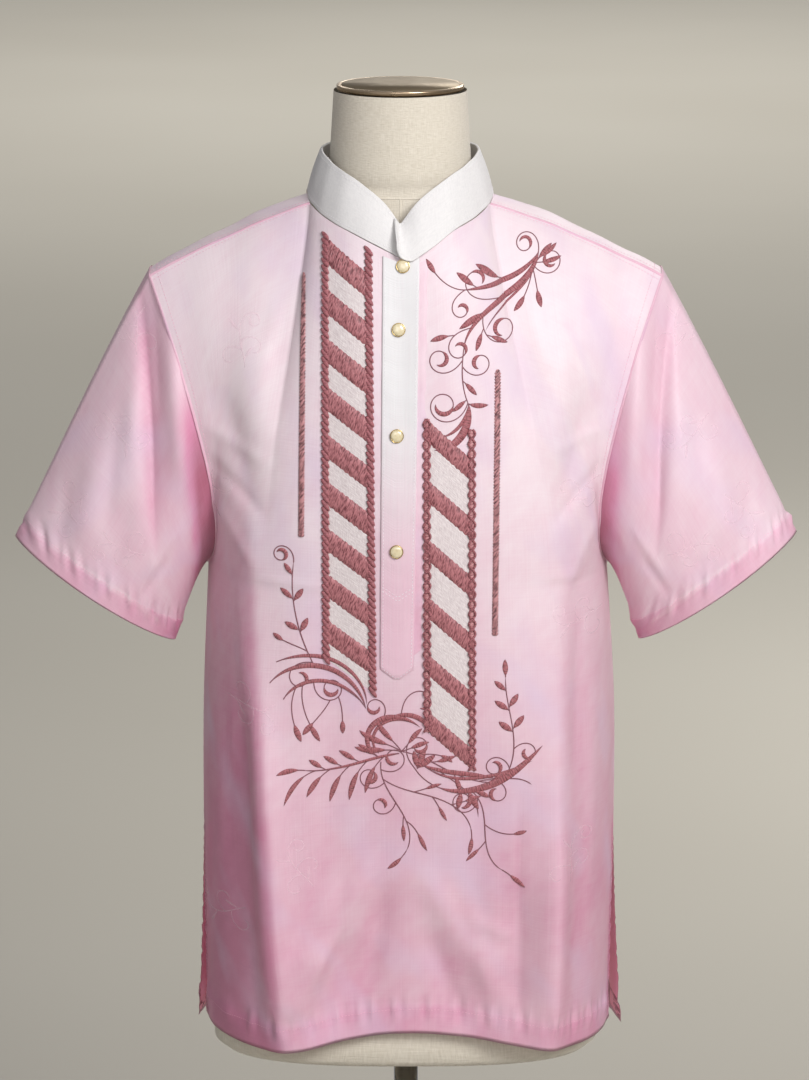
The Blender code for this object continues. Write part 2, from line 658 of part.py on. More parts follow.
def add_grid(name, points, made_of, wall, closed=False, leave=None, turn=False):
    """A cloth piece: the grid is its outer face and Solidify gives it its wall inwards."""
    rows, columns = points.shape[:2]
    faces = []
    for row in range(rows - 1):
        for column in range(columns if closed else columns - 1):
            if leave and leave(row, column):
                continue
            after = (column + 1) % columns
            low, high = row * columns, (row + 1) * columns
            face = (low + column, low + after, high + after, high + column)
            faces.append(face[::-1] if turn else face)
    obj = add_mesh(name, points.reshape(-1, 3), faces, made_of)
    shell = obj.modifiers.new("wall", "SOLIDIFY")
    shell.thickness = wall
    shell.offset = -1.0
    return obj


def outer_face(name):
    """The outer face of a piece, before its wall, to cast rays on."""
    mesh = bpy.data.objects[name].data
    corners = [vertex.co for vertex in mesh.vertices]
    return BVHTree.FromPolygons(corners, [polygon.vertices for polygon in mesh.polygons])


def seated(tree, x, z, out):
    """The point of a panel seen from the front at X and Z, moved out by out, and its normal."""
    hit, normal, _, _ = tree.ray_cast(Vector((x, -1.0, z)), Vector((0.0, 1.0, 0.0)))
    if normal.y > 0:
        normal = -normal
    return hit + normal * out, normal


def laid_grid(tree, places, out):
    """A grid of places (X, Z) laid on a panel."""
    return np.array([[tuple(seated(tree, x, z, out)[0]) for x, z in row] for row in places])


def turned(name, profile, made_of, steps):
    """A turned piece: its profile as radius and height, outer side from top to bottom."""
    mesh = bpy.data.meshes.new(name)
    edges = [(index, index + 1) for index in range(len(profile) - 1)]
    mesh.from_pydata([(radius, 0.0, height) for radius, height in profile], edges, [])
    mesh.materials.append(made_of)
    obj = bpy.data.objects.new(name, mesh)
    COLLECTION.objects.link(obj)
    spin = obj.modifiers.new("turn", "SCREW")
    spin.steps = steps
    spin.render_steps = steps
    spin.use_merge_vertices = True
    spin.merge_threshold = 0.00001
    spin.use_smooth_shade = True
    return obj


def add_lattice(name, sizes, tree, made_of):
    """Rope columns and slanting bands in one piece, its windows left out."""
    heights = [sizes["top"]]
    for index in range(sizes["bands"]):
        heights.append(heights[-1] - sizes["band"])
        last = index == sizes["bands"] - 1
        window = sizes["last_window"] if last else sizes["window"]
        if window:
            heights.append(heights[-1] - window)
    length = heights[0] - heights[-1]
    half = ROPE_WIDTH / 2
    places = []
    falls = (0.0, 0.0, 1 / 3, 2 / 3, 1.0, 1.0)
    for height in [None, *heights]:
        share = 0.0 if height is None else (heights[0] - height) / length
        outer = sizes["outer_x"][0] + (sizes["outer_x"][1] - sizes["outer_x"][0]) * share
        inner = sizes["inner_x"][0] + (sizes["inner_x"][1] - sizes["inner_x"][0]) * share
        row = []
        for index, fall in enumerate(falls):
            x = outer + half + (inner - outer - ROPE_WIDTH) * fall
            if index == 0:
                x -= ROPE_WIDTH
            if index == len(falls) - 1:
                x += ROPE_WIDTH
            z = sizes["top"] - POST_GAP if height is None else height - sizes["drop"] * fall
            row.append((x, z))
        places.append(row)
    places.reverse()
    points = laid_grid(tree, places, sizes["gap"] + BAND_THICK)
    windows = len(heights) - 1
    rows = len(places) - 1

    def leave(row, column):
        if row == rows - 1:
            return column != 4
        from_top = rows - 2 - row
        return from_top % 2 == 1 and column in (1, 2, 3) and from_top < windows

    return add_grid(name, points, made_of, BAND_THICK, leave=leave)


def add_bar(name, ends, tree, made_of):
    (top_x, top_z), (low_x, low_z) = ends
    count = round((top_z - low_z) / BAR_STEP)
    places = []
    for index in range(count + 1):
        share = index / count
        x = low_x + (top_x - low_x) * share
        z = low_z + (top_z - low_z) * share
        places.append([(x - BAR_WIDTH / 2, z), (x + BAR_WIDTH / 2, z)])
    points = laid_grid(tree, places, BAR_GAP + BAND_THICK)
    return add_grid(name, points, made_of, BAND_THICK)


def add_placket(tree, made_of):
    """A folded strip down the front, its lower end pointed."""
    places = []
    for row in range(PLACKET_ROWS + 1):
        share = row / PLACKET_ROWS
        line = []
        for side in (-1.0, -0.5, 0.0, 0.5, 1.0):
            point = PLACKET_POINT * (1.0 - abs(side))
            low_z = PLACKET_LOW[1] - point
            high_z = PLACKET_TOP[1] + PLACKET_TOP_RISE * abs(side)
            middle = PLACKET_LOW[0] + (PLACKET_TOP[0] - PLACKET_LOW[0]) * share
            width = PLACKET_WIDTH[1] + (PLACKET_WIDTH[0] - PLACKET_WIDTH[1]) * share
            line.append((middle + side * width / 2, low_z + (high_z - low_z) * share))
        places.append(line)
    points = laid_grid(tree, places, LAY_GAP + PLACKET_WALL)
    return add_grid("placket", points, made_of, PLACKET_WALL)


def add_buttons(tree, made_of):
    """Each button stands on the highest points of the placket under it."""
    reach = BUTTON_RADIUS * 0.86
    for number, (x, z) in enumerate(BUTTONS, start=1):
        middle, _ = seated(tree, x, z, 0.0)
        rim = [seated(tree, x + reach * i, z + reach * k, 0.0)[0] for i, k in BUTTON_SEATS]
        normal = (rim[1] - rim[0]).cross(rim[3] - rim[2]).normalized()
        rise = max((point - middle).dot(normal) for point in [middle, *rim])
        place = middle + normal * (rise + SEAM_GAP)
        button = turned(f"button_{number}", BUTTON_PROFILE, made_of, 18)
        turn = normal.to_track_quat("Z", "Y").to_matrix().to_4x4()
        button.matrix_world = Matrix.Translation(place) @ turn


def add_form(made_of):
    """The torso and neck: superellipse sections, closed below and above."""
    rings = []
    for height, half_width, half_depth, middle_y, square in FORM_ROWS:
        shift = NECK_X * fade(NECK_SHIFT_FROM, NECK_ROWS[0][3], height)
        for index in range(FORM_SIDES):
            turn = 2 * math.pi * index / FORM_SIDES
            across = math.copysign(abs(math.cos(turn)) ** (2 / square), math.cos(turn))
            ahead = math.copysign(abs(math.sin(turn)) ** (2 / square), math.sin(turn))
            rings.append((shift + half_width * across, middle_y + half_depth * ahead, height))
    faces = []
    for row in range(len(FORM_ROWS) - 1):
        low, high = row * FORM_SIDES, (row + 1) * FORM_SIDES
        for index in range(FORM_SIDES):
            after = (index + 1) % FORM_SIDES
            faces.append((low + index, low + after, high + after, high + index))
    faces.append(tuple(reversed(range(FORM_SIDES))))
    faces.append(tuple(range(len(rings) - FORM_SIDES, len(rings))))
    return add_mesh("form_torso", rings, faces, made_of)


def clear_scene():
    for obj in list(bpy.data.objects):
        bpy.data.objects.remove(obj, do_unlink=True)


clear_scene()
COLLECTION = bpy.data.collections.new("barong_shirt_on_dress_form")
bpy.context.scene.collection.children.link(COLLECTION)

CLOTH = material("pink sheer cloth", PINK, 0.45)
WHITE_CLOTH = material("white collar cloth", WHITE, 0.5)
THREAD = material("rose satin stitch", ROSE, 0.45)
PEARL = material("pearl button", (0.85, 0.75, 0.68), 0.25)
LINEN = material("cream linen", (0.78, 0.72, 0.62), 0.8)
BRONZE = material("bronze metal", (0.62, 0.48, 0.36), 0.35, 1.0)
CHROME = material("chromed steel", (0.75, 0.75, 0.75), 0.12, 1.0)

FRONT = front_points()
BACK = back_points()
add_grid("front_panel", FRONT, CLOTH, WALL)
add_grid("back_panel", BACK, CLOTH, WALL, turn=True)
add_grid("sleeve_left", sleeve_points(-1, FRONT, BACK), CLOTH, WALL, closed=True, turn=True)
add_grid("sleeve_right", sleeve_points(1, FRONT, BACK), CLOTH, WALL, closed=True)
add_grid("collar", collar_points(), WHITE_CLOTH, COLLAR_WALL, turn=True)

TREE = outer_face("front_panel")
add_placket(TREE, CLOTH)
add_buttons(outer_face("placket"), PEARL)
for NAME, SIZES in LATTICES.items():
    add_lattice(NAME, SIZES, TREE, THREAD)
for NAME, ENDS in BARS.items():
    add_bar(NAME, ENDS, TREE, THREAD)

add_form(LINEN)
CAP = turned("form_cap", CAP_PROFILE, BRONZE, 32)
CAP.location = (NECK_X, FORM_ROWS[-1][3], CAP_TOP)
turned("stand_pole", POLE_PROFILE, CHROME, 20)
turned("stand_base", BASE_PROFILE, CHROME, 40)
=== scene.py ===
"""Barong Tagalog of sheer pink cloth on a linen dress form: the look of every piece.

Metres, +Z up, the shirt's front faces -Y. "left" is the side towards -X.
"""

import math

import bpy
import numpy as np
from mathutils import Matrix, Vector
from mathutils.bvhtree import BVHTree


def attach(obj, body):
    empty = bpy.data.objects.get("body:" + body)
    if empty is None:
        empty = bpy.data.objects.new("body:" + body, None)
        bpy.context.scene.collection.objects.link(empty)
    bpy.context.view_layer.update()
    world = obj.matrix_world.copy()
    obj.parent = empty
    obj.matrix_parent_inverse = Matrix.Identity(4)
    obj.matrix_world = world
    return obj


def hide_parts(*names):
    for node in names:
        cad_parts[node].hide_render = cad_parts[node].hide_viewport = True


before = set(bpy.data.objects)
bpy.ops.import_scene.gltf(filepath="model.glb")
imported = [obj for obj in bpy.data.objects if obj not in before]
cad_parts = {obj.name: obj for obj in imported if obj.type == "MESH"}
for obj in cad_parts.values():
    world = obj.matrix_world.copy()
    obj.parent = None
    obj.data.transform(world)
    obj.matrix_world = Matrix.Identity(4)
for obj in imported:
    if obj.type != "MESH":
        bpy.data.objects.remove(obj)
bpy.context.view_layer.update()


def mm(rows, *whole):
    """A table given in mm, in metres. Its whole columns are angles or shares and stay as given."""
    rows = np.array(rows, float)
    scaled = rows / 1000
    scaled[:, list(whole)] = rows[:, list(whole)]
    return scaled


# ---------------------------------------------------------------- sizes shared with the solids
SEAM_GAP = 0.0003
SHOULDER_GAP = 0.0007
LAY_GAP = 0.0005
ARMPIT_Z = 1.11
NECK_X = -0.005  # the form's neck stands a little to the left of the shirt
SEAM_FORWARD = 0.02  # the shoulder seam lies this far in front of the ridge
RIDGE_Y = 0.005
RIDGE_CURVE = 9.0  # how fast the shoulder falls away from its ridge
SHOULDER_HALF = 0.227  # centre to the sleeve seam
SHOULDER_Z = 1.377
NECK_SIDE_Z = 1.443
SHOULDER_BOW = 0.016  # how far the shoulder line falls below a straight slope near its end

HEM_BAND = 0.024
HEM_STEP = 0.0006
CUFF_BAND = 0.022
COLLAR_WALL = 0.002
COLLAR_GAP = 0.0005
PLACKET_WALL = 0.0013
BUTTON_RADIUS = 0.0061
BUTTON_HEIGHT = 0.0032

# Half sections of the body from the hem up: height, side half width on the left and right, where
# the pressed fold stands on the left and right, how far forward the fold and the middle stand.
FRONT_SECTIONS = mm([
    (680, 183.5, 186.5, 110, 128, 122, 113), (740, 184, 187.5, 119, 131, 121.5, 114),
    (860, 184.5, 189.5, 129, 134, 119, 118), (980, 183.5, 189, 131, 134, 113, 123.5),
    (1110, 178, 181, 125, 127, 102, 127),
])
BACK_SECTIONS = mm([
    (680, 190.5, 198, 118, 122, 118, 114), (740, 188, 194, 120, 124, 117, 115),
    (860, 184.5, 189.5, 124, 128, 114, 116), (980, 183.5, 189, 126, 128, 109, 117),
    (1110, 178, 181, 122, 124, 100, 120),
])
# Where a section's points stand from its middle to its side: place on the half section from 0 to
# 1, share of the way from fold to side, share of the fold's depth.
KNOT_SHARES = {1.0: (1.0, 0.0), 0.84: (0.86, 0.37), 0.67: (0.52, 0.74), 0.5: (0.0, 1.0)}
SECTION_KNOTS = (-1.0, -0.84, -0.67, -0.5, -0.22, 0.0, 0.22, 0.5, 0.67, 0.84, 1.0)

# Hem heights by place on the panel, from the left side to the right side.
FRONT_HEM = mm([
    (-1, 684), (-0.75, 684.5), (-0.5, 686), (0, 701), (0.5, 688.5), (0.75, 683), (1, 679),
], 0)
BACK_HEM = mm([(-1, 679), (-0.5, 679), (0, 681), (0.5, 679), (1, 672)], 0)

# Half of the neckline and of the collar's top edge, by angle from the front in degrees: distance
# from the neck's middle, Y and Z of the neckline, then the same three of the collar's top edge.
NECK_ROWS = mm([
    (0, 0, -89, 1400, 0, -73, 1428), (12, 18, -86, 1409, 13, -70, 1445),
    (28, 38.5, -78, 1418.5, 34, -60, 1461.5), (55, 68, -50, 1431.5, 58, -36, 1474.5),
    (75, 79.5, -22, 1439, 67, -15, 1480.5), (90, 82.5, 5, 1443, 69.7, 5, 1483.2),
    (115, 79, 35, 1445.5, 66, 33, 1484), (145, 51, 64, 1449, 43, 57, 1486),
    (180, 0, 76, 1451, 0, 68, 1487),
], 0)
NECK_JOIN = 75.0  # the angle where the forward shoulder seam meets the neckline

# The upper half of each panel is lofted from the armpit level to its top edge. Rows by place from
# the middle to the side: the direction and pull at the armpit level, then at the top edge. X is
# towards the side.
FRONT_PULLS = mm([
    (0, 0, -10, 300, 0, 60, 210), (0.5, 0, -20, 330, 0, 190, 150), (0.8, -20, -120, 240, 50, 230, 190),
    (1, -85, -190, 100, 115, 240, 270),
], 0)
BACK_PULLS = mm([
    (0, 0, 10, 330, 0, -70, 230), (0.3, 0, 20, 340, 0, -140, 180), (0.4, 0, 20, 345, 0, -220, 70),
    (0.5, 0, 20, 350, 0, -260, 0), (0.8, -10, 80, 300, 30, -270, 0), (1, -45, 190, 110, 60, -300, 40),
], 0)
FRONT_NECK_SHARE = 0.5  # the part of the front's half width that ends at the neckline
BACK_NECK_SHARE = 0.4  # the same on the back, up to the neckline's side
BACK_SEAM_SHARE = 0.5  # and up to the forward seam
RIDGE_START = 0.1  # the column at the seam's start crosses the ridge this far along it

# Folds as soft ridges and, below zero, troughs: both ends as X and Z, half width, height.
FRONT_FOLDS = mm([
    (-129, 1060, -111, 640, 13, 7), (134, 920, 128, 640, 12, 6.5), (104, 860, 98, 700, 12, -3.5),
    (-150, 1000, -156, 700, 14, -3.5), (-108, 705, -70, 800, 16, 4.5), (-88, 690, -40, 800, 22, -2.6),
    (60, 790, 110, 750, 14, 1.8), (15, 690, 64, 850, 24, -2.4), (-168, 1300, -128, 1150, 14, -4),
    (-140, 1350, -118, 1210, 18, 3.5), (168, 1300, 130, 1150, 14, -4), (145, 1350, 120, 1200, 18, 3.5),
])
BACK_FOLDS = mm([
    (-95, 1180, -105, 700, 18, 5), (102, 1140, 108, 690, 18, 5), (-40, 1020, -52, 690, 20, -4.5),
    (35, 1060, 46, 690, 22, -4.5), (0, 940, -4, 690, 18, 3.5), (-150, 1280, -110, 1150, 16, -4),
    (150, 1280, 110, 1150, 16, -4),
])
# Sleeve folds in the same way, with X counted outwards from the shirt's middle.
SLEEVE_FRONT_FOLDS = mm(
    [(210, 1370, 196, 1170, 9, 4.5), (270, 1240, 290, 1120, 14, 4), (246, 1190, 262, 1090, 10, -1.4)]
)
SLEEVE_BACK_FOLDS = mm(
    [(228, 1340, 236, 1150, 13, -6), (252, 1280, 268, 1120, 14, 4.5), (208, 1290, 212, 1130, 10, 4)]
)
SLEEVE_FRONT_LAPS = mm([(242, 1430, 221, 1110, 18, -15)])
FOLD_FADE = 0.34  # the part of a fold's length over which each end fades

# Cuffs: the outer and inner corners of the opening as X outwards and Z, and its half depth.
CUFFS = {-1: ((0.3511, 1.1335), (0.209, 1.0379)), 1: ((0.3511, 1.1375), (0.2109, 1.0388))}
CUFF_HALF_DEPTH = 0.05
CUFF_Y = -0.002
CUFF_SHARPNESS = 1.35  # 1 is an ellipse, more makes the opening's two fold edges sharper
SLEEVE_TOP_PULL = (0.13, 0.0, -0.23)
SLEEVE_FACE_PULL = (0.075, 0.055, -0.06)  # outwards, away from the middle plane, down
SLEEVE_UNDER_PULL = (0.045, 0.0, -0.04)
SLEEVE_START = 0.001  # clear of the panels' edges
SLEEVE_END_PULL = 0.75  # share of the straight distance, along the sleeve's axis

# The raised bands of satin stitch: two rope columns and slanting bands between them, which leave
# windows. X of the columns' middles, top and bottom; heights; how far a band drops across.
POST_GAP = 0.01  # the inner column starts this far below the outer one
LATTICES = {
    "lattice_left": {
        "outer_x": (-0.07, -0.0702), "inner_x": (-0.0324, -0.0292), "top": 1.416, "band": 0.0213,
        "window": 0.02, "bands": 9, "last_window": 0.015, "drop": 0.029,
    },
    "lattice_right": {
        "outer_x": (0.018, 0.0188), "inner_x": (0.057, 0.0585), "top": 1.264, "band": 0.0196,
        "window": 0.0325, "bands": 6, "last_window": 0.0, "drop": 0.036,
    },
}
BARS = {
    "bar_left": ((-0.0892, 1.3839), (-0.0917, 1.1582)),
    "bar_right": ((0.0799, 1.3047), (0.0781, 1.0703)),
}
BAR_WIDTH = 0.0054
BAR_HEIGHT = 0.0012
BAR_STEP = 0.00065  # from one zigzag stitch to the next
BAR_ZIGZAG = 0.14  # how far stitches stand out by turns, as a share
BAR_POINT = 0.004  # the length of its pointed top

PLACKET_TOP = (-0.0042, 1.396)  # the middle of its upper end, X and Z
PLACKET_LOW = (-0.008, 1.041)  # the middle between its lower corners
PLACKET_WIDTH = (0.0322, 0.0292)  # above and below
PLACKET_POINT = 0.0108
PLACKET_TOP_RISE = 0.006  # its upper corners follow the neckline
BUTTONS = mm([(-2.6, 1393.8), (-6.5, 1340.2), (-8, 1249.4), (-8.2, 1148.1)])

# The collar's right end laps over the left one and hides half of the top button. By angle from the
# front: how far its lower edge moves in X and Z, and how far the lower and upper edges stand off.
LAP_ROWS = mm([
    (-4, 5, 11.5, 7.8, 3.2), (-1.5, 1.2, 5.5, 8.8, 3.2), (2, -0.4, -1, 9.2, 3.2),
    (6, 0, -6.2, 9.2, 3.2), (12, 0, -6, 8.4, 3), (22, 0, -4, 6.2, 2.2), (34, 0, 0, 3.6, 1.5),
    (50, 0, 0, 0, 0),
], 0)
COLLAR_LEFT_END = 5.0
COLLAR_RIGHT_END = -4.0
COLLAR_BULGE = 0.0012

# The form's sections: height, half width, half depth, middle Y, and how square the section is.
FORM_ROWS = mm([
    (660, 156, 86, 2, 2.8), (662.5, 168, 96, 2, 2.8), (669, 176, 102, 2, 2.8),
    (685, 177.5, 103.5, 2, 2.7), (760, 176, 104, 2, 2.6), (860, 164, 98, 2, 2.4),
    (960, 148, 93, 0, 2.3), (1060, 152, 96, -3, 2.3), (1160, 162, 99, -3, 2.3), (1240, 168, 92, 0, 2.2),
    (1300, 182, 74, 6, 2.2), (1340, 196, 56, 7, 2.1), (1370, 199, 40, 6, 2), (1390, 190, 33, 5, 2),
    (1406, 163, 33, 5, 2), (1421, 131, 30, 5, 2), (1431, 90, 23, 5, 2), (1439, 72, 34, 4, 2),
    (1452, 66, 58, 3, 2), (1464, 63.2, 60, 2, 2), (1535.9, 58.8, 58.8, 1, 2),
], 4)

NECK_SHIFT_FROM = 1.3  # above this height the form drifts to the neck's middle
CAP_TOP = 1.541
CAP_THICK = 0.0048
CAP_RADIUS = 0.0562

POLE_RADIUS = 0.011
BASE_RADIUS = 0.165
BASE_THICK = 0.01
HUB_RADIUS = 0.024
HUB_TOP = 0.034
CHAMFER = 0.0012


# ---------------------------------------------------------------- curves
def hermite(start, end, pull_start, pull_end, share):
    """A cubic from start to end with the given pulls, at share from 0 to 1."""
    square = share * share
    cube = square * share
    ends = start * (2 * cube - 3 * square + 1) + end * (3 * square - 2 * cube)
    return ends + pull_start * (cube - 2 * square + share) + pull_end * (cube - square)


def spline(knots, values, key):
    """Values (..., knots, axes) at key (...), smooth from knot to knot."""
    knots = np.asarray(knots, float)
    key = np.clip(np.asarray(key, float), knots[0], knots[-1])
    values = np.broadcast_to(values, key.shape + np.shape(values)[-2:])
    slopes = np.gradient(values, knots, axis=-2)
    low = np.clip(np.searchsorted(knots, key, side="right") - 1, 0, len(knots) - 2)
    span = (knots[low + 1] - knots[low])[..., None]
    share = (key - knots[low])[..., None] / span
    at_low = low[..., None, None]
    start, pull_start = (np.take_along_axis(v, at_low, -2)[..., 0, :] for v in (values, slopes))
    end, pull_end = (np.take_along_axis(v, at_low + 1, -2)[..., 0, :] for v in (values, slopes))
    return hermite(start, end, pull_start * span, pull_end * span, share)


def table(rows, key):
    """The columns of a table at key, which its first column holds."""
    rows = np.asarray(rows, float)
    return spline(rows[:, 0], rows[:, 1:], key)


def fade(low, high, value):
    """0 up to low and 1 from high on, smooth in between. With low above high it falls."""
    share = np.clip((value - low) / (high - low), 0.0, 1.0)
    return share * share * (3 - 2 * share)


def below(line, height):
    """1 below a line of stitches and 0 above it, by height over the edge."""
    return 1.0 - fade(line - 0.001, line + 0.001, height)


def run_of(points):
    """The length from the first row of points to each row."""
    steps = np.linalg.norm(np.diff(points, axis=0), axis=-1)
    return np.concatenate([0 * steps[:1], np.cumsum(steps, axis=0)])


# ---------------------------------------------------------------- surfaces
def grid_normals(points, closed=False):
    """Unit normals of a grid whose rows climb and whose columns run to the right, seen outside."""
    across = np.gradient(points, axis=1)
    if closed:
        across = np.roll(points, -1, axis=1) - np.roll(points, 1, axis=1)
    normals = np.cross(across, np.gradient(points, axis=0))
    return normals / np.linalg.norm(normals, axis=2, keepdims=True)


def ring_normals(points):
    """Unit normals of a closed grid, outwards."""
    normals = grid_normals(points, closed=True)
    return normals * np.sign(((points - points.mean(axis=1, keepdims=True)) * normals).sum())


def fold_height(points, folds, side=1.0, pressed=0.0):
    """How far the folds lift each point, by its X and Z. A pressed fold has a sharp edge, and its
    outer side is so many times steeper."""
    total = np.zeros(points.shape[:-1])
    for x_start, z_start, x_end, z_end, half_width, height in folds:
        along_x, along_z = x_end - x_start, z_end - z_start
        length = math.hypot(along_x, along_z)
        from_x = side * points[..., 0] - x_start
        from_z = points[..., 2] - z_start
        along = (from_x * along_x + from_z * along_z) / length**2
        off = (from_x * along_z - from_z * along_x) / length
        away = np.abs(off) / half_width
        if pressed:
            away = np.where(off > 0, away, away * pressed)
        ends = fade(0.0, FOLD_FADE, along) * fade(0.0, FOLD_FADE, 1.0 - along)
        total += height * ends * np.exp(-away if pressed else -(away**2))
    return total


def section_points(rows, place, height, facing):
    """Points of the body's section: place from -1 to 1, facing -1 for the front, 1 for the back."""
    left, right, fold_left, fold_right, fold, middle = np.moveaxis(table(rows, height), -1, 0)
    values = []
    for knot in SECTION_KNOTS:
        side, crease = (left, fold_left) if knot < 0 else (right, fold_right)
        part = abs(knot)
        if part < 0.5:
            across = crease * part / 0.5
            ahead = middle + (fold - middle) * (part / 0.5) ** 2
        else:
            outwards, depth = KNOT_SHARES[part]
            across = crease + outwards * (side - crease)
            ahead = depth * fold
        values.append(np.stack([math.copysign(1.0, knot) * across, facing * ahead], axis=-1))
    flat = spline(SECTION_KNOTS, np.stack(values, axis=-2), place)
    return np.stack([flat[..., 0], flat[..., 1], height + 0 * flat[..., 0]], axis=-1)


def neckline(angle, edge="low"):
    """A point of the neckline, or of the collar's top edge, by angle from the front."""
    turned = (np.asarray(angle, float) + 180.0) % 360.0 - 180.0
    rows = table(NECK_ROWS, np.abs(turned))
    first = 0 if edge == "low" else 3
    across = NECK_X + np.sign(turned) * rows[..., first]
    return np.stack([across, rows[..., first + 1], rows[..., first + 2]], axis=-1)


def shoulder_point(side, share, forward):
    """On the shoulder's slope: share 0 at the neck, 1 at the sleeve, forward of the ridge."""
    neck_x = NECK_X + side * NECK_ROWS[5][1]
    x = neck_x + share * (side * SHOULDER_HALF - neck_x)
    fall = NECK_SIDE_Z - SHOULDER_Z - SHOULDER_BOW
    ridge_z = NECK_SIDE_Z - fall * share - SHOULDER_BOW * share**2
    drop = RIDGE_CURVE * forward**2
    return np.stack([x, RIDGE_Y - forward + 0 * x, ridge_z - drop], axis=-1)


def seam_point(side, share):
    """On the forward shoulder seam, which starts at the neckline."""
    slope = shoulder_point(side, share, SEAM_FORWARD)
    shift = neckline(side * NECK_JOIN) - shoulder_point(side, 0 * share, SEAM_FORWARD)
    return slope + shift * (1.0 - np.asarray(share)[..., None])


def front_edge(place):
    """The front's top edge: neckline in the middle, shoulder seams at the sides."""
    side = np.where(place < 0, -1.0, 1.0)
    part = np.abs(place)
    angle = side * NECK_JOIN * np.clip(part / FRONT_NECK_SHARE, 0.0, 1.0)
    share = np.clip((part - FRONT_NECK_SHARE) / (1.0 - FRONT_NECK_SHARE), 0.0, 1.0)
    return np.where((part < FRONT_NECK_SHARE)[..., None], neckline(angle), seam_point(side, share))


def upper_pulls(rows, place):
    """The pulls at the armpit level and at the top edge of a column."""
    pulls = table(rows, np.abs(place))
    outwards = np.stack([np.sign(place), 1 + 0 * place, 1 + 0 * place], axis=-1)
    return pulls[..., :3] * outwards, pulls[..., 3:] * outwards


def lower_half(sections, hem_rows, place, low_rows, facing):
    """A panel's rows from the hem up, and its row at the armpit level."""
    hem = table(hem_rows, place)[..., 0]
    heights = [hem + share * (ARMPIT_Z - hem) for share in low_rows]
    rows = [section_points(sections, place, height, facing) for height in heights]
    return rows, section_points(sections, place, ARMPIT_Z + 0 * place, facing)


def front_surface(place, low_rows, high_rows):
    """The front panel's outer face: a grid of rows from the hem to the top edge."""
    rows, armpit = lower_half(FRONT_SECTIONS, FRONT_HEM, place, low_rows, -1)
    low, high = upper_pulls(FRONT_PULLS, place)
    rows += [hermite(armpit, front_edge(place), low, high, share) for share in high_rows]
    return np.array(rows)


PATH_STEPS = 40


def back_path(start, place, pull_low, pull_top):
    """A column of the back from the armpit level to the ridge, and on to the forward seam."""
    side, part = (-1.0 if place < 0 else 1.0), abs(place)
    if part <= BACK_NECK_SHARE:
        ends = [neckline(side * (180.0 - 90.0 * part / BACK_NECK_SHARE))]
    elif part < BACK_SEAM_SHARE:
        share = (part - BACK_NECK_SHARE) / (BACK_SEAM_SHARE - BACK_NECK_SHARE)
        ends = [shoulder_point(side, RIDGE_START * share, 0.0)]
        ends.append(neckline(side * (90.0 + (NECK_JOIN - 90.0) * share)))
    else:
        share = (part - BACK_SEAM_SHARE) / (1.0 - BACK_SEAM_SHARE)
        ridge = shoulder_point(side, RIDGE_START + (1.0 - RIDGE_START) * share, 0.0)
        ends = [ridge, seam_point(side, share)]
    steps = np.linspace(0.0, 1.0, PATH_STEPS)[:, None]
    path = hermite(start, ends[0], pull_low, pull_top, steps)
    if len(ends) == 2:
        step = ends[1] - ends[0]
        over = hermite(ends[0], ends[1], step * (1, 1, 0), step * (1, 1, 2), steps)
        path = np.concatenate([path, over[1:]])
    return path


def back_surface(place, low_rows, high_rows):
    """The back panel's outer face, over the ridge to the forward seam."""
    rows, armpit = lower_half(BACK_SECTIONS, BACK_HEM, place, low_rows, 1)
    columns = []
    for start, at, low, high in zip(armpit, place, *upper_pulls(BACK_PULLS, place)):
        path = back_path(start, at, low, high)
        length = run_of(path)
        places = np.asarray(high_rows) * length[-1]
        columns.append(np.stack([np.interp(places, length, axis) for axis in path.T], axis=-1))
    return np.array(rows + list(np.stack(columns, axis=1)))


def armhole(side, front, back):
    """The closed edge that a sleeve is set to, and how far round it each point is. It runs from the
    ridge down the front and up the back, through the panels' own edge points."""
    column = 0 if side < 0 else -1
    front_side, back_side = front[:, column], back[:, column]
    ridge = int(np.argmax(back_side[:, 2]))
    down = np.concatenate([back_side[ridge:-1], front_side[::-1]])
    up = back_side[1 : ridge + 1]
    first, second = run_of(down), run_of(np.concatenate([down[-1:], up]))
    turns = [math.pi * first / first[-1], math.pi + math.pi * second[1:-1] / second[-1]]
    return np.concatenate([down, up[:-1]]), np.concatenate(turns)


def cuff_ring(side, turn):
    """The sleeve's opening, from its outer corner round the front."""
    (outer_x, outer_z), (inner_x, inner_z) = CUFFS[side]
    along = np.cos(turn) / 2
    depth = np.sign(np.sin(turn)) * np.abs(np.sin(turn)) ** CUFF_SHARPNESS
    x = (outer_x + inner_x) / 2 + (outer_x - inner_x) * along
    z = (outer_z + inner_z) / 2 + (outer_z - inner_z) * along
    return np.stack([side * x, CUFF_Y - CUFF_HALF_DEPTH * depth, z], axis=-1)


# ---------------------------------------------------------------- meshes
def shown(data):
    """An object for a mesh, a light or a camera, in the scene."""
    obj = bpy.data.objects.new(data.name, data)
    bpy.context.scene.collection.objects.link(obj)
    return obj


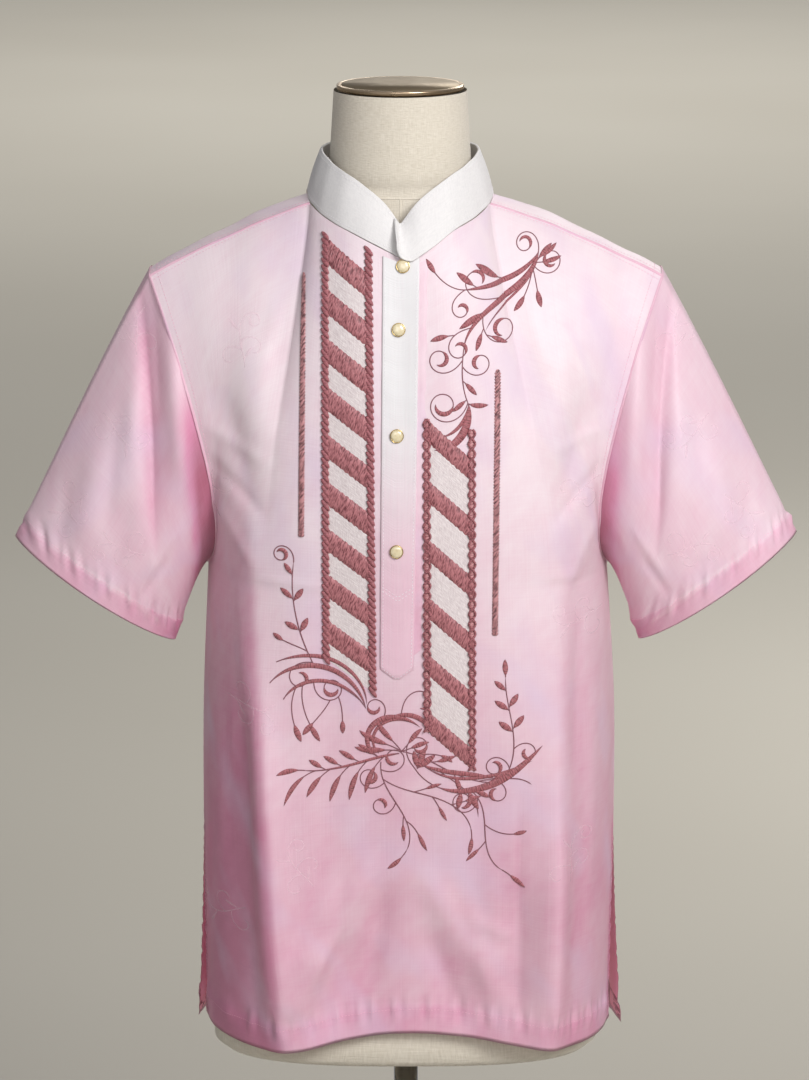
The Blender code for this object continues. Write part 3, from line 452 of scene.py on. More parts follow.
def grid_mesh(name, points, uv, tone=None, closed=False, turn=False):
    """A sheet through a grid of points, with its cut as UV map and how deep its colour is."""
    rows, columns = points.shape[:2]
    across = columns if closed else columns - 1
    low, column = np.meshgrid(np.arange(rows - 1) * columns, np.arange(across), indexing="ij")
    after = (column + 1) % columns
    faces = [low + column, low + after, low + columns + after, low + columns + column]
    faces = np.stack(faces, -1).reshape(-1, 4)[:, :: -1 if turn else 1]
    mesh = bpy.data.meshes.new(name)
    mesh.from_pydata(points.reshape(-1, 3).tolist(), [], faces.tolist())
    corners = faces.ravel()
    flat = uv.reshape(-1, 2)[corners]
    if closed:
        # The last column of faces comes back to the first, so its UV runs on past the seam.
        wrap = uv[:, -1] * 2 - uv[:, -2]
        last = (np.arange(len(faces)) % across == across - 1).repeat(4)
        first = corners % columns == 0
        flat[last & first] = wrap[corners[last & first] // columns]
    mesh.uv_layers.new(name="cut").data.foreach_set("uv", flat.astype(np.float32).ravel())
    if tone is not None:
        depth = mesh.attributes.new("tone", "FLOAT", "POINT")
        depth.data.foreach_set("value", np.clip(tone, 0.0, 1.6).astype(np.float32).ravel())
    mesh.shade_smooth()
    return shown(mesh)


def finished(obj, made_of, slot, *nodes):
    """Gives a piece its material, says what it rides on and hides the CAD parts it stands for."""
    obj.data.materials.clear()
    obj.data.materials.append(made_of)
    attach(obj, "root")
    if nodes:
        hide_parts(*nodes)
    return obj


def cut_of(points, width):
    """UV in metres: across the cut by place, and up the cut by the length of the cloth."""
    steps = np.linalg.norm(np.diff(points, axis=0), axis=2).mean(axis=1)
    up = np.concatenate([[0.0], np.cumsum(steps)])
    across = np.linspace(-width / 2, width / 2, points.shape[1])
    return np.stack(np.meshgrid(across, up, indexing="xy"), axis=-1)


def outer_face(*pieces):
    """The faces of some pieces as one tree, to lay thread on."""
    corners, faces = [], []
    for piece in pieces:
        start = len(corners)
        corners += [vertex.co.copy() for vertex in piece.data.vertices]
        faces += [[start + index for index in face.vertices] for face in piece.data.polygons]
    return BVHTree.FromPolygons(corners, faces)


def seated(tree, x, z, out, facing=-1.0):
    """The point of a piece seen from the front, or with facing 1 the back, moved out by out."""
    hit, normal, _, _ = tree.ray_cast(Vector((x, facing, z)), Vector((0.0, -facing, 0.0)))
    if hit is None:
        return None, None
    if normal.y * facing < 0:
        normal = -normal
    return hit + normal * out, normal


def laid_grid(rows):
    """A grid of points on the front, from rows of X, Z and distance off the cloth."""
    return np.array([[tuple(seated(FRONT_TREE, *spot)[0]) for spot in row] for row in rows])


def waves(value, *terms):
    """A sum of sines, as (waves per metre, size, shift): an uneven but repeatable ripple."""
    return sum(size * np.sin(2 * math.pi * rate * value + shift) for rate, size, shift in terms)


# ---------------------------------------------------------------- materials
def linear(code):
    """An sRGB hex colour as linear red, green, blue and alpha."""
    parts = [int(code[place : place + 2], 16) / 255 for place in (0, 2, 4)]
    lit = [part / 12.92 if part <= 0.04045 else ((part + 0.055) / 1.055) ** 2.4 for part in parts]
    return (*lit, 1.0)


def feed(tree, socket, value):
    """Gives a socket a value or another node's output."""
    if isinstance(value, bpy.types.NodeSocket):
        tree.links.new(value, socket)
    else:
        socket.default_value = value


def add(tree, kind, inputs=None, **settings):
    """A node with its settings. An input is a value or another node's output."""
    made = tree.nodes.new(kind)
    for name, value in settings.items():
        setattr(made, name, value)
    for key, value in (inputs or {}).items():
        feed(tree, made.inputs[key], value)
    return made


def finish_of(name, **values):
    """A new material and its Principled shader, with the shader's uniform values."""
    made = bpy.data.materials.new(name)
    made.use_nodes = True
    shader = made.node_tree.nodes["Principled BSDF"]
    for key, value in values.items():
        shader.inputs[key.replace("_", " ")].default_value = value
    return made, made.node_tree, shader


def cut_coordinates(tree, across, up, turn=0.0):
    """The cut's UV in units of across and up metres, turned by turn radians."""
    uv = add(tree, "ShaderNodeUVMap", uv_map="cut").outputs["UV"]
    turned = add(tree, "ShaderNodeMapping", {"Vector": uv, "Rotation": (0, 0, turn)})
    size = {"Vector": turned.outputs["Vector"], "Scale": (1 / across, 1 / up, 1.0)}
    return add(tree, "ShaderNodeMapping", size).outputs["Vector"]


def layered(tree, start, *layers):
    """A start with layers added to it, each a pattern and its share."""
    for pattern, share in layers:
        inputs = {0: pattern, 1: share, 2: start}
        start = add(tree, "ShaderNodeMath", inputs, operation="MULTIPLY_ADD").outputs[0]
    return start


def painted(tree, ground, *coats):
    """A ground colour with coats over it, each a colour and how far it covers, from 0 to 1."""
    for coat, cover in coats:
        low, high = (linear(colour) if isinstance(colour, str) else colour for colour in (ground, coat))
        inputs = {0: cover, 6: low, 7: high}  # 6 and 7 are the node's colours, as output 2 is
        ground = add(tree, "ShaderNodeMix", inputs, data_type="RGBA", clamp_factor=True).outputs[2]
    return ground


def cloud(tree, across, up, detail=2.0, turn=0.0):
    """Soft noise in the cut, one wave for each across and up in metres, turned by turn radians."""
    place = cut_coordinates(tree, across, up, turn)
    settings = {"Vector": place, "Scale": 1.0, "Detail": detail, "Roughness": 0.55}
    return add(tree, "ShaderNodeTexNoise", settings, noise_dimensions="2D").outputs["Fac"]


def speckle(tree, scale, detail=2.0):
    """Soft noise in space, scale waves to a metre."""
    place = add(tree, "ShaderNodeTexCoord").outputs["Object"]
    settings = {"Vector": place, "Scale": scale, "Detail": detail}
    return add(tree, "ShaderNodeTexNoise", settings).outputs["Fac"]


def coloured(made, colour, height=None, distance=0.0, strength=1.0):
    """Gives a material its colour, and its relief from a height."""
    tree = made.node_tree
    shader = tree.nodes["Principled BSDF"]
    feed(tree, shader.inputs["Base Color"], colour)
    if height is not None:
        bump = {"Height": height, "Distance": distance, "Strength": strength}
        feed(tree, shader.inputs["Normal"], add(tree, "ShaderNodeBump", bump).outputs["Normal"])
    return made


def woven(name, threads, colours, mix, bump, **finish):
    """A matt plain weave from the sizes of its uneven threads both ways and the second ones' share,
    two colours, where the second starts and how fast it comes, and the relief's depth and strength."""
    made, tree, _ = finish_of(name, **finish)
    one, other, share = threads
    weave = layered(tree, cloud(tree, *one), (cloud(tree, *other), share))
    cover = layered(tree, mix[0], (weave, mix[1]))
    return coloured(made, painted(tree, colours[0], (colours[1], cover)), weave, *bump)


def organza(name, pale, deep, deepest):
    """Sheer, crisp organza of pineapple fibre and silk: a fine open weave with slubs in both
    directions, which lets a little of what is behind show and has a silky, watery sheen."""
    made, tree, shader = finish_of(
        name, Roughness=0.46, Alpha=0.8, Specular_IOR_Level=0.3, Sheen_Weight=0.1, Sheen_Roughness=0.3,
        Sheen_Tint=linear("FBD9E4"),
    )
    slubs = layered(tree, cloud(tree, 0.0016, 0.09, 3.0), (cloud(tree, 0.11, 0.0016, 3.0), 1.0))
    patches = cloud(tree, 0.06, 0.11, 3.0)
    watery = cloud(tree, 0.016, 0.034, 3.0, 0.8)
    # The tone attribute also carries painted shade from the panels and sleeves.
    tone = add(tree, "ShaderNodeAttribute", attribute_name="tone").outputs["Fac"]
    tone = layered(tree, tone, (slubs, 0.12), (patches, 0.38), (watery, 0.26), (-0.42, 1.0))
    shine = layered(tree, -0.78, (cloud(tree, 0.055, 0.11, 2.0, -0.5), 1.6))
    # Where the tone passes 1 it goes to the deepest rose: painted shade by the left armhole and low on the
    # left side, and doubled cloth with a painted glow at the slits.
    doubled_and_shaded = layered(tree, -1.0, (tone, 1.0))
    colour = painted(tree, pale, (deep, tone), (LILAC_SHINE, shine), (deepest, doubled_and_shaded))
    return coloured(made, colour, slubs, 0.0004, 0.36)


LILAC_SHINE = "E4CCE6"
PINK_PALE = "FAE9EF"
PINK_DEEP = "E093B3"
PINK_DEEPEST = "A25366"
CLOTH = organza("pink organza", PINK_PALE, PINK_DEEP, PINK_DEEPEST)
# Smooth white cotton over a stiff interlining: matt, with a fine even weave.
WHITE_COTTON = woven(
    "white cotton over interlining", ((0.0013, 0.005), (0.005, 0.0013), 1.0), ("E3E1DF", "D3D1D0"),
    (-0.5, 0.7), (0.0003, 0.4), Roughness=0.72, Sheen_Weight=0.12, Specular_IOR_Level=0.3,
)


# ---------------------------------------------------------------- the shirt's panels
# Creases finer than the solids' folds, in the same form: ends as X and Z, half width, height.
FRONT_CREASES = mm([
    (-186, 1250, -110, 1215, 6, 1.4), (-182, 1222, -120, 1170, 5, -1.6),
    (-178, 1190, -128, 1120, 6, 1.6), (186, 1250, 118, 1225, 6, 1.2), (182, 1222, 124, 1160, 5, -1.6),
    (178, 1180, 132, 1090, 7, 1.8), (-150, 1150, -140, 960, 7, 1.6), (-165, 1080, -158, 800, 6, -1.4),
    (155, 1120, 150, 900, 7, -1.6), (170, 1060, 166, 780, 6, 1.4), (-140, 1118, -60, 1113, 4, 1),
    (118, 1120, 155, 1116, 4, 1), (-60, 880, -84, 720, 10, 2.2), (-20, 860, -34, 710, 9, -1.8),
    (50, 850, 78, 730, 9, 2), (86, 900, 92, 700, 10, -2), (-110, 740, -60, 850, 8.5, 3.4),
    (-96, 725, -50, 800, 8, -1.4), (50, 812, 104, 788, 7, 1.6), (-100, 720, -22, 880, 11, 5),
    (-66, 700, -4, 850, 13, -4.8), (92, 715, 4, 872, 13, 4.2), (56, 695, 14, 810, 11, -3.8),
    (-138, 1260, -128, 680, 10, 2.6), (-148, 1060, -131, 660, 11, -4.8), (138, 1220, 134, 680, 11, 1.8),
    (162, 1100, 158, 700, 15, -2.4), (-110, 1370, -128, 1280, 8, 1.2), (100, 1380, 124, 1290, 8, 1.2),
    (30, 1240, 16, 1120, 4, 1), (6, 1110, 18, 1020, 5, -1.2),
])
FRONT_PRESSED = mm(
    [(-126.5, 1040, -105, 640, 12, 5.6), (134, 1000, 129, 640, 11, 4), (101, 960, 99, 660, 8, -2.6)]
)
BACK_CREASES = mm([
    (-182, 1230, -110, 1190, 6, 1.4), (-178, 1190, -125, 1110, 6, -1.6), (182, 1230, 112, 1185, 6, 1.4),
    (178, 1190, 128, 1105, 6, -1.6), (-70, 1000, -82, 720, 9, 2), (72, 1020, 80, 710, 9, 2),
    (-20, 930, -26, 720, 8, -1.6), (18, 960, 22, 700, 8, 1.6), (-130, 960, -140, 740, 8, -1.6),
    (132, 980, 144, 730, 8, -1.6), (-90, 1330, -110, 1240, 9, 1.2), (90, 1330, 112, 1235, 9, 1.2),
])
SLEEVE_FRONT_CREASES = mm([
    (227, 1395, 219, 1230, 4.5, -1.4), (236, 1330, 244, 1200, 6, 1.6), (252, 1290, 268, 1130, 7, -1.6),
    (300, 1200, 312, 1120, 7, -1.4), (196, 1160, 236, 1100, 4, 1.4), (206, 1130, 240, 1080, 4, -1.4),
])
SLEEVE_BACK_CREASES = mm([
    (216, 1320, 222, 1180, 5, 1.6), (244, 1320, 256, 1180, 6, -1.6), (282, 1230, 296, 1120, 7, 1.4),
    (200, 1160, 236, 1096, 4, -1.4),
])
PANEL_COLUMNS = 176
LOW_ROWS = 104
HIGH_ROWS = 96
SLEEVE_ROWS = 72
HEM_TURN = 0.0007  # between the two layers of a turned hem
PUCKER_REACH = 0.009  # how far puckers run from a line of stitches
HEM_PUCKERS = (0.0105, 0.0019)  # spacing and size
CUFF_PUCKERS = (0.0095, 0.0021)
SLIT_RIPPLE = 0.0005
PANEL_CUT = 0.5  # width of a cut, which its UV runs over
SLEEVE_CUT = 0.42
COLLAR_CUT = 0.44
# How much deeper the pink is: everywhere, low down, by the arms, in troughs as painted shade, in
# hems, in slits in front and behind as doubled cloth with a painted glow of light through it, and
# outside the pressed folds on the left and right as painted shade.
PANEL_TONE = 0.03
LOWER_TONE = 0.54
ARM_TONE = 0.1
TROUGH_SHADE_TONE = 0.1
HEM_TONE = 0.12
SLIT_DOUBLED_GLOW_TONES = {-1: 0.5, 1: 0.7}
SIDE_SHADE_TONES = (0.42, 0.12)
PRESSED_X = (0.1265, 0.134)  # where the pressed folds stand on the left and right at PRESSED_Z
PRESSED_Z = 1.04
PRESSED_LEAN = 0.0538  # the left one comes in by this share of its way down
ARM_SHADE = 0.052  # how far the painted shade, a deeper pink, runs from the armhole down a sleeve
# The left and the right sleeve: colour all over, painted shade at the armhole, and more painted
# shade in the lapped fold's trough.
SLEEVE_TONES = {-1: (0.31, 2.2, 0.34), 1: (0.28, 1.05, 0.1)}


def puckered(points, lift, line, spacing, size):
    """Adds the small puckers that stitching draws up beside a line, by row distances from it."""
    near = np.exp(-((line / PUCKER_REACH) ** 2))
    along = points[..., 0] + 0.35 * points[..., 1]
    ripple = waves(along, (1 / spacing, 0.6, 0.0), (0.61 / spacing, 0.5, 1.3), (1.7 / spacing, 0.3, 4.0))
    return lift + size * near * ripple


def panel(surface, folds, creases, facing):
    """A panel's sheet with its hem turned up inside, how deep its colour is, and its outer face."""
    place = np.linspace(-1.0, 1.0, PANEL_COLUMNS + 1)
    edge = np.abs(place)
    low = np.linspace(0.0, 1.0, LOW_ROWS + 1)[:-1]
    points = surface(place, low, np.linspace(0.0, 1.0, HIGH_ROWS + 1))
    rise = points[..., 2] - points[0, :, 2]
    hem = below(HEM_BAND, rise)
    slit = fade(0.935, 0.965, edge) * fade(0.9, 0.84, points[..., 2])
    lift = fold_height(points, folds) * fade(0.0, 0.12, 1.0 - edge) + fold_height(points, creases)
    if facing < 0:
        lift += fold_height(points, FRONT_PRESSED, pressed=1.0)
    lift += waves(points[..., 0], (9.0, 0.0005, 1.0), (23.0, 0.0003, 2.0)) * fade(0.0, 0.1, 1 - edge)
    lift = puckered(points, lift, rise - HEM_BAND, *HEM_PUCKERS) + HEM_STEP * hem
    ripple = waves(points[..., 2], (105.0, 0.7, 0.0), (171.0, 0.5, 1.0), (64.0, 0.4, 2.0))
    lift += SLIT_RIPPLE * slit * ripple
    normals = grid_normals(points)
    points = points - facing * normals * lift[..., None]
    points[..., 1] += facing * SEAM_GAP * np.clip((edge - 0.9) / 0.1, 0.0, 1.0)
    # Deeper pink lower down, by the arms and in the hem; painted shade outside the pressed folds and
    # in troughs; doubled cloth and a painted glow of light in the slits.
    across, height = points[..., 0], points[..., 2]
    pressed_at = np.where(across < 0, PRESSED_X[0] - PRESSED_LEAN * (PRESSED_Z - height), PRESSED_X[1])
    # Painted shade on the side planes beyond the pressed folds, deeper on the left.
    outside = fade(-0.002, 0.01, np.abs(across) - pressed_at) * fade(1.24, 1.1, height)
    outside *= np.where(across < 0, *SIDE_SHADE_TONES)
    by_arm = fade(0.74, 0.98, edge) * fade(1.1, 1.16, height) * fade(1.4, 1.3, height)
    tone = PANEL_TONE + LOWER_TONE * fade(1.28, 0.8, height) + outside + ARM_TONE * by_arm
    # Painted shade: deeper pink in the troughs of folds and creases.
    tone = tone + TROUGH_SHADE_TONE * np.clip(-lift / 0.004, 0.0, 1.0)
    # The slits' deeper pink stands for doubled cloth and for painted light glowing through it from behind.
    tone = tone + HEM_TONE * hem + SLIT_DOUBLED_GLOW_TONES[facing] * slit
    # The turned-up part of the hem: the lowest rows again, inside and in reverse.
    band = slice(int(np.argmax(rise[:, PANEL_COLUMNS // 2] > HEM_BAND)), 0, -1)
    inner = points[band] + facing * normals[band] * HEM_TURN
    return np.concatenate([inner, points]), np.concatenate([tone[band], tone]), points


def sleeve(side, front, back):
    """A sleeve's sheet with its hem turned up inside, how deep its colour is, and its outer face."""
    loop, turn = armhole(side, front, back)
    start = loop + (side * SLEEVE_START, 0.0, 0.0)
    end = cuff_ring(side, turn)
    top, face = np.cos(turn), np.sin(turn)
    forward = np.stack([1 + 0 * turn, -np.sign(face), 1 + 0 * turn], axis=-1)
    pull = np.clip(top, 0, 1)[:, None] ** 2 * SLEEVE_TOP_PULL
    pull = pull + np.clip(-top, 0, 1)[:, None] ** 2 * SLEEVE_UNDER_PULL
    pull = (pull + face[:, None] ** 2 * SLEEVE_FACE_PULL * forward) * (side, 1, 1)
    shares = np.linspace(0.0, 1.0, SLEEVE_ROWS + 1)[:, None]
    run = shares * np.linalg.norm(end - start, axis=1)
    left = run[-1] - run
    cuff = below(CUFF_BAND, left)
    pull_end = (end - start) * SLEEVE_END_PULL
    points = np.array([hermite(start, end, pull, pull_end, share) for share in shares])
    normals = ring_normals(points)
    in_front = fade(-0.004, 0.004, points.mean(axis=1, keepdims=True)[..., 1] - points[..., 1])
    lap = in_front * fold_height(points, SLEEVE_FRONT_LAPS, side, 3.5)
    lift = in_front * fold_height(points, (*SLEEVE_FRONT_FOLDS, *SLEEVE_FRONT_CREASES), side) + lap
    lift += (1 - in_front) * fold_height(points, (*SLEEVE_BACK_FOLDS, *SLEEVE_BACK_CREASES), side)
    lift = puckered(points, lift * np.abs(face), left - CUFF_BAND, *CUFF_PUCKERS) + HEM_STEP * cuff
    points = points + normals * lift[..., None]
    # Painted shade as deeper pink near the armhole, in troughs, in the lap and below the arm; deeper
    # pink in the doubled cuff.
    base, deep, lap_shade = SLEEVE_TONES[side]
    # Painted shade near the armhole's lower part, far deeper on the left sleeve, away from the key light.
    tone = base + deep * (1.0 - fade(0.0, ARM_SHADE, run)) * np.clip(0.35 - top, 0, 1)
    tone = tone + 0.12 * np.clip(-lift / 0.005, 0.0, 1.0) - lap_shade * lap / 0.015
    tone = tone + 0.3 * cuff + 0.4 * np.clip(-top, 0, 1) ** 4
    inside = slice(-2, int(np.argmin(left.mean(axis=1) > CUFF_BAND)) - 1, -1)
    inner = points[inside] - normals[inside] * HEM_TURN
    return np.concatenate([points, inner]), np.concatenate([tone, tone[inside]]), points


FRONT_SHEET, FRONT_TONE, FRONT = panel(front_surface, FRONT_FOLDS, FRONT_CREASES, -1)
BACK_SHEET, BACK_TONE, BACK = panel(back_surface, BACK_FOLDS, BACK_CREASES, 1)
SEAMED = np.abs(np.linspace(-1.0, 1.0, PANEL_COLUMNS + 1)) >= FRONT_NECK_SHARE
for grid in (FRONT_SHEET, FRONT):
    grid[-1, SEAMED] += (0.0, -SHOULDER_GAP, -SHOULDER_GAP)

FRONT_CLOTH = grid_mesh("front_cloth", FRONT_SHEET, cut_of(FRONT_SHEET, PANEL_CUT), FRONT_TONE)
finished(FRONT_CLOTH, CLOTH, "pink_cloth", "front_panel")
BACK_CLOTH = grid_mesh("back_cloth", BACK_SHEET, cut_of(BACK_SHEET, PANEL_CUT), BACK_TONE, turn=True)
finished(BACK_CLOTH, CLOTH, "pink_cloth", "back_panel")
SLEEVES = {}
CUFFED = {}
SLEEVE_SHEETS = {}
for SIDE, WORD in ((-1, "left"), (1, "right")):
    SHEET, TONE, OUTER = sleeve(SIDE, FRONT[LOW_ROWS:], BACK[LOW_ROWS:])
    PIECE = grid_mesh(f"sleeve_cloth_{WORD}", SHEET, cut_of(SHEET, SLEEVE_CUT), TONE, True, SIDE < 0)
    CUFFED[SIDE], SLEEVE_SHEETS[SIDE] = OUTER, SHEET
    SLEEVES[SIDE] = finished(PIECE, CLOTH, "pink_cloth", f"sleeve_{WORD}")


# ---------------------------------------------------------------- collar
COLLAR_COLUMNS = 220
COLLAR_ROWS = 22
COLLAR_GATHER = 0.045  # how much closer the columns stand by the lapped end


def collar_points():
    """The band's outer face: rows climb, columns run from the left end round the back."""
    share = np.linspace(0.0, 1.0, COLLAR_COLUMNS + 1)
    span = COLLAR_RIGHT_END - 360.0 - COLLAR_LEFT_END
    turn = COLLAR_LEFT_END + span * (share + COLLAR_GATHER * np.sin(math.pi * share) ** 2 * share)
    angle = np.where(turn < -180.0, turn + 360.0, LAP_ROWS[-1][0])
    shift_x, shift_z, stand_low, stand_high = np.moveaxis(table(LAP_ROWS, angle), -1, 0)
    low = neckline(turn) + np.stack([shift_x, -stand_low, shift_z], axis=-1)
    high = neckline(turn, "high") + np.stack([0 * turn, -stand_high, 0 * turn], axis=-1)
    rise = high - low
    low = low + rise / np.linalg.norm(rise, axis=1, keepdims=True) * COLLAR_GAP
    parts = np.linspace(0.0, 1.0, COLLAR_ROWS + 1)[:, None, None]
    points = low + (high - low) * parts
    away = (points - (NECK_X, 0.0, 0.0)) * (1, 1, 0)
    away /= np.linalg.norm(away, axis=2, keepdims=True)
    wave = waves(turn, (0.021, 0.0004, 0.6), (0.052, 0.0002, 2.0))[:, None]
    return points + away * (COLLAR_BULGE * np.sin(math.pi * parts) + wave)


def thick(obj, wall, bevel):
    """Gives a sheet its wall inwards and rounds its edges, and keeps the result as a plain mesh."""
    shell = obj.modifiers.new("wall", "SOLIDIFY")
    shell.thickness = wall
    shell.offset = -1.0
    rounded = obj.modifiers.new("edge", "BEVEL")
    rounded.width = bevel
    rounded.segments = 3
    rounded.limit_method = "ANGLE"
    rounded.angle_limit = math.radians(50)
    return plain(obj)


def plain(obj):
    """Replaces an object's mesh by what its modifiers make of it."""
    graph = bpy.context.evaluated_depsgraph_get()
    made = bpy.data.meshes.new_from_object(obj.evaluated_get(graph), depsgraph=graph)
    made.name = obj.name
    obj.modifiers.clear()
    obj.data = made
    return obj


COLLAR = collar_points()
COLLAR_BAND = grid_mesh("collar_band", COLLAR, cut_of(COLLAR, COLLAR_CUT), turn=True)
finished(thick(COLLAR_BAND, COLLAR_WALL, 0.0007), WHITE_COTTON, "white_cloth", "collar")

# ---------------------------------------------------------------- placket
FRONT_TREE = outer_face(FRONT_CLOTH)
PLACKET_SIDES = (-1.0, -0.985, -0.95, -0.9, -0.5, -0.2, 0.2, 0.5, 0.9, 0.95, 0.985, 1.0)
PLACKET_RISES = (0.1, 0.75, 0.98, 1.0, 0.92, 0.95, 0.95, 0.92, 1.0, 0.98, 0.75, 0.1)
PLACKET_ROWS = 150
BOX_STITCH_Z = 1.112  # the stitched line across the placket where its opening ends


def placket_place(side, share):
    """X and Z on the placket: side from -1 to 1, share from its lower end to its upper one."""
    low_z = PLACKET_LOW[1] - PLACKET_POINT * (1.0 - abs(side))
    high_z = PLACKET_TOP[1] + PLACKET_TOP_RISE * abs(side)
    middle = PLACKET_LOW[0] + (PLACKET_TOP[0] - PLACKET_LOW[0]) * share
    width = PLACKET_WIDTH[1] + (PLACKET_WIDTH[0] - PLACKET_WIDTH[1]) * share
    return middle + side * width / 2, low_z + (high_z - low_z) * share


def placket_points():
    """The placket's outer face, rounded at its edges and end."""
    rows = []
    for share in np.linspace(0.0, 1.0, PLACKET_ROWS + 1):
        end = 0.2 + 0.8 * fade(0.0, 0.008, share)
        row = []
        for side, rise in zip(PLACKET_SIDES, PLACKET_RISES):
            x, z = placket_place(side, share)
            wave = waves(z, (22.0, 0.00012, side), (61.0, 0.00006, 2 * side))
            row.append((x, z, LAY_GAP + PLACKET_WALL * rise * end + wave))
        rows.append(row)
    return laid_grid(rows)


def placket_cloth():
    """The front's cloth over white interlining, which shows less towards the lower end."""
    made, tree, _ = finish_of(
        "organza over white interlining", Roughness=0.5, Sheen_Weight=0.25, Specular_IOR_Level=0.4,
    )
    place = add(tree, "ShaderNodeTexCoord").outputs["Object"]
    height = add(tree, "ShaderNodeSeparateXYZ", {0: place}).outputs["Z"]
    inputs = {"Value": height, "From Min": 1.295, "From Max": 1.09, "To Min": 0.0, "To Max": 0.72}
    pink = add(tree, "ShaderNodeMapRange", inputs, interpolation_type="SMOOTHSTEP").outputs[0]
    weave = layered(tree, cloud(tree, 0.0013, 0.06), (cloud(tree, 0.04, 0.0013), 1.0))
    cover = layered(tree, pink, (weave, 0.14), (-0.14, 1.0))
    return coloured(made, painted(tree, "DFDEDE", ("E3AFC3", cover)), weave, 0.0003, 0.4)


PLACKET_CLOTH = placket_cloth()
PLACKET = placket_points()
PLACKET_STRIP = grid_mesh("placket_strip", PLACKET, cut_of(PLACKET, PLACKET_WIDTH[0]))
finished(PLACKET_STRIP, PLACKET_CLOTH, "pink_cloth", "placket")
PLACKET_TREE = outer_face(PLACKET_STRIP)
UNDERLAP = (0.94, 1.44)  # the strip that shows beside the placket, in the placket's half widths
UNDERLAP_OUT = 0.0003


def underlap():
    """The narrow edge of the slit's facing, a little puckered, beside the placket."""
    rows = []
    for share in np.linspace(0.035, 0.985, 260):
        row = []
        for edge in np.linspace(0.0, 1.0, 9):
            x, z = placket_place(UNDERLAP[0] + (UNDERLAP[1] - UNDERLAP[0]) * edge, share)
            x += 0.0006 * edge * waves(z, (31.0, 1.0, 0.4), (83.0, 0.6, 1.0))
            pucker = waves(z, (74.0, 0.00034, 0.0), (121.0, 0.00022, 1.0)) * edge * fade(1.25, 1.06, z)
            row.append((x, z, UNDERLAP_OUT + 0.0004 * fade(1.0, 0.6, edge) + abs(pucker)))
        rows.append(row)
    return laid_grid(rows)


STRIP = underlap()
STRIP_TONE = 0.2 + 0.35 * fade(1.26, 1.06, STRIP[..., 2])
UNDERLAP_STRIP = grid_mesh("placket_underlap", STRIP, cut_of(STRIP, 0.008), STRIP_TONE)
finished(UNDERLAP_STRIP, CLOTH, "pink_cloth")


# ---------------------------------------------------------------- turned pieces
def turned(name, profile, steps, centre=(0.0, 0.0, 0.0), axis=None):
    """A turned piece from radius and height, its outer side from top to bottom, set at a place."""
    mesh = bpy.data.meshes.new(name)
    edges = [(index, index + 1) for index in range(len(profile) - 1)]
    mesh.from_pydata([(radius, 0.0, height) for radius, height in profile], edges, [])
    obj = shown(mesh)
    spin = obj.modifiers.new("turn", "SCREW")
    spin.steps = steps
    spin.render_steps = steps
    spin.use_merge_vertices = True
    spin.merge_threshold = 0.00001
    spin.use_smooth_shade = True
    place = Matrix.Translation(centre)
    if axis is not None:
        place = place @ axis.to_track_quat("Z", "Y").to_matrix().to_4x4()
    plain(obj).data.transform(place)
    return obj


def arc(centre, radius, start, end, count):
    """Points of an arc in a profile, by angles in degrees."""
    angles = np.radians(np.linspace(start, end, count))
    return [(centre[0] + radius * math.cos(a), centre[1] + radius * math.sin(a)) for a in angles]


def pearl():
    """Pressed mother-of-pearl look: cream, with a soft shift of colour under a clear coat."""
    made, tree, _ = finish_of("pearly resin", Roughness=0.28, Coat_Weight=0.8, Coat_Roughness=0.08)
    return coloured(made, painted(tree, "F1E7C8", ("C8B685", speckle(tree, 420.0))))


def metal(name, colour, dark, roughness, spread, scale):
    """A metal whose colour and polish vary a little over its face."""
    made, tree, shader = finish_of(name, Metallic=1.0)
    patches = speckle(tree, scale, 4.0)
    feed(tree, shader.inputs["Roughness"], layered(tree, roughness, (patches, spread)))
    return coloured(made, painted(tree, colour, (dark, patches)))


PEARL = pearl()
# Bright gilding on the buttons, cast bronze with a satin face and a polished rim on the neck's cap,
# and chrome, nearly a mirror, on the stand.
GILT = metal("gilt brass", "E6CE94", "B79A5A", 0.18, 0.12, 900.0)
BRONZE = metal("satin bronze", "AB9A80", "8F7E66", 0.42, 0.16, 60.0)
POLISHED_BRONZE = metal("polished bronze", "D9C3A6", "B79C7C", 0.24, 0.08, 60.0)
CHROME = metal("chromed steel", "D9DADD", "B9BABF", 0.05, 0.05, 30.0)

R, H = BUTTON_RADIUS, BUTTON_HEIGHT
DOME = [(0.0, H), (R * 0.34, H * 0.975), (R * 0.6, H * 0.9), (R * 0.78, H * 0.76), (R * 0.865, H * 0.58)]
DOME += [(R * 0.865, H * 0.4), (0.0, H * 0.4)]
RIM = [(R * 0.87, H * 0.4), *arc((R * 0.93, H * 0.42), R * 0.06, 170, -20, 12)]
RIM += [(R * 0.99, H * 0.18), (R * 0.86, 0.0), (0.0, 0.0), (0.0, H * 0.3)]
RIM += [(R * 0.87, H * 0.3), (R * 0.87, H * 0.4)]


def button(number, x, z):
    """A pearly dome held in a gilt rim, on the placket."""
    reach = BUTTON_RADIUS * 0.86
    around = ((-1.0, 0.0), (1.0, 0.0), (0.0, -1.0), (0.0, 0.3))
    middle, _ = seated(PLACKET_TREE, x, z, 0.0)
    rim = [seated(PLACKET_TREE, x + reach * i, z + reach * k, 0.0)[0] for i, k in around]
    normal = (rim[1] - rim[0]).cross(rim[3] - rim[2]).normalized()
    place = middle + normal * (SEAM_GAP + max((point - middle).dot(normal) for point in rim))
    dome = turned(f"button_{number}_dome", DOME, 40, place, normal)
    finished(dome, PEARL, "pearl", f"button_{number}")
    finished(turned(f"button_{number}_rim", RIM, 40, place, normal), GILT, "pearl")


for NUMBER, (X, Z) in enumerate(BUTTONS, start=1):
    button(NUMBER, X, Z)

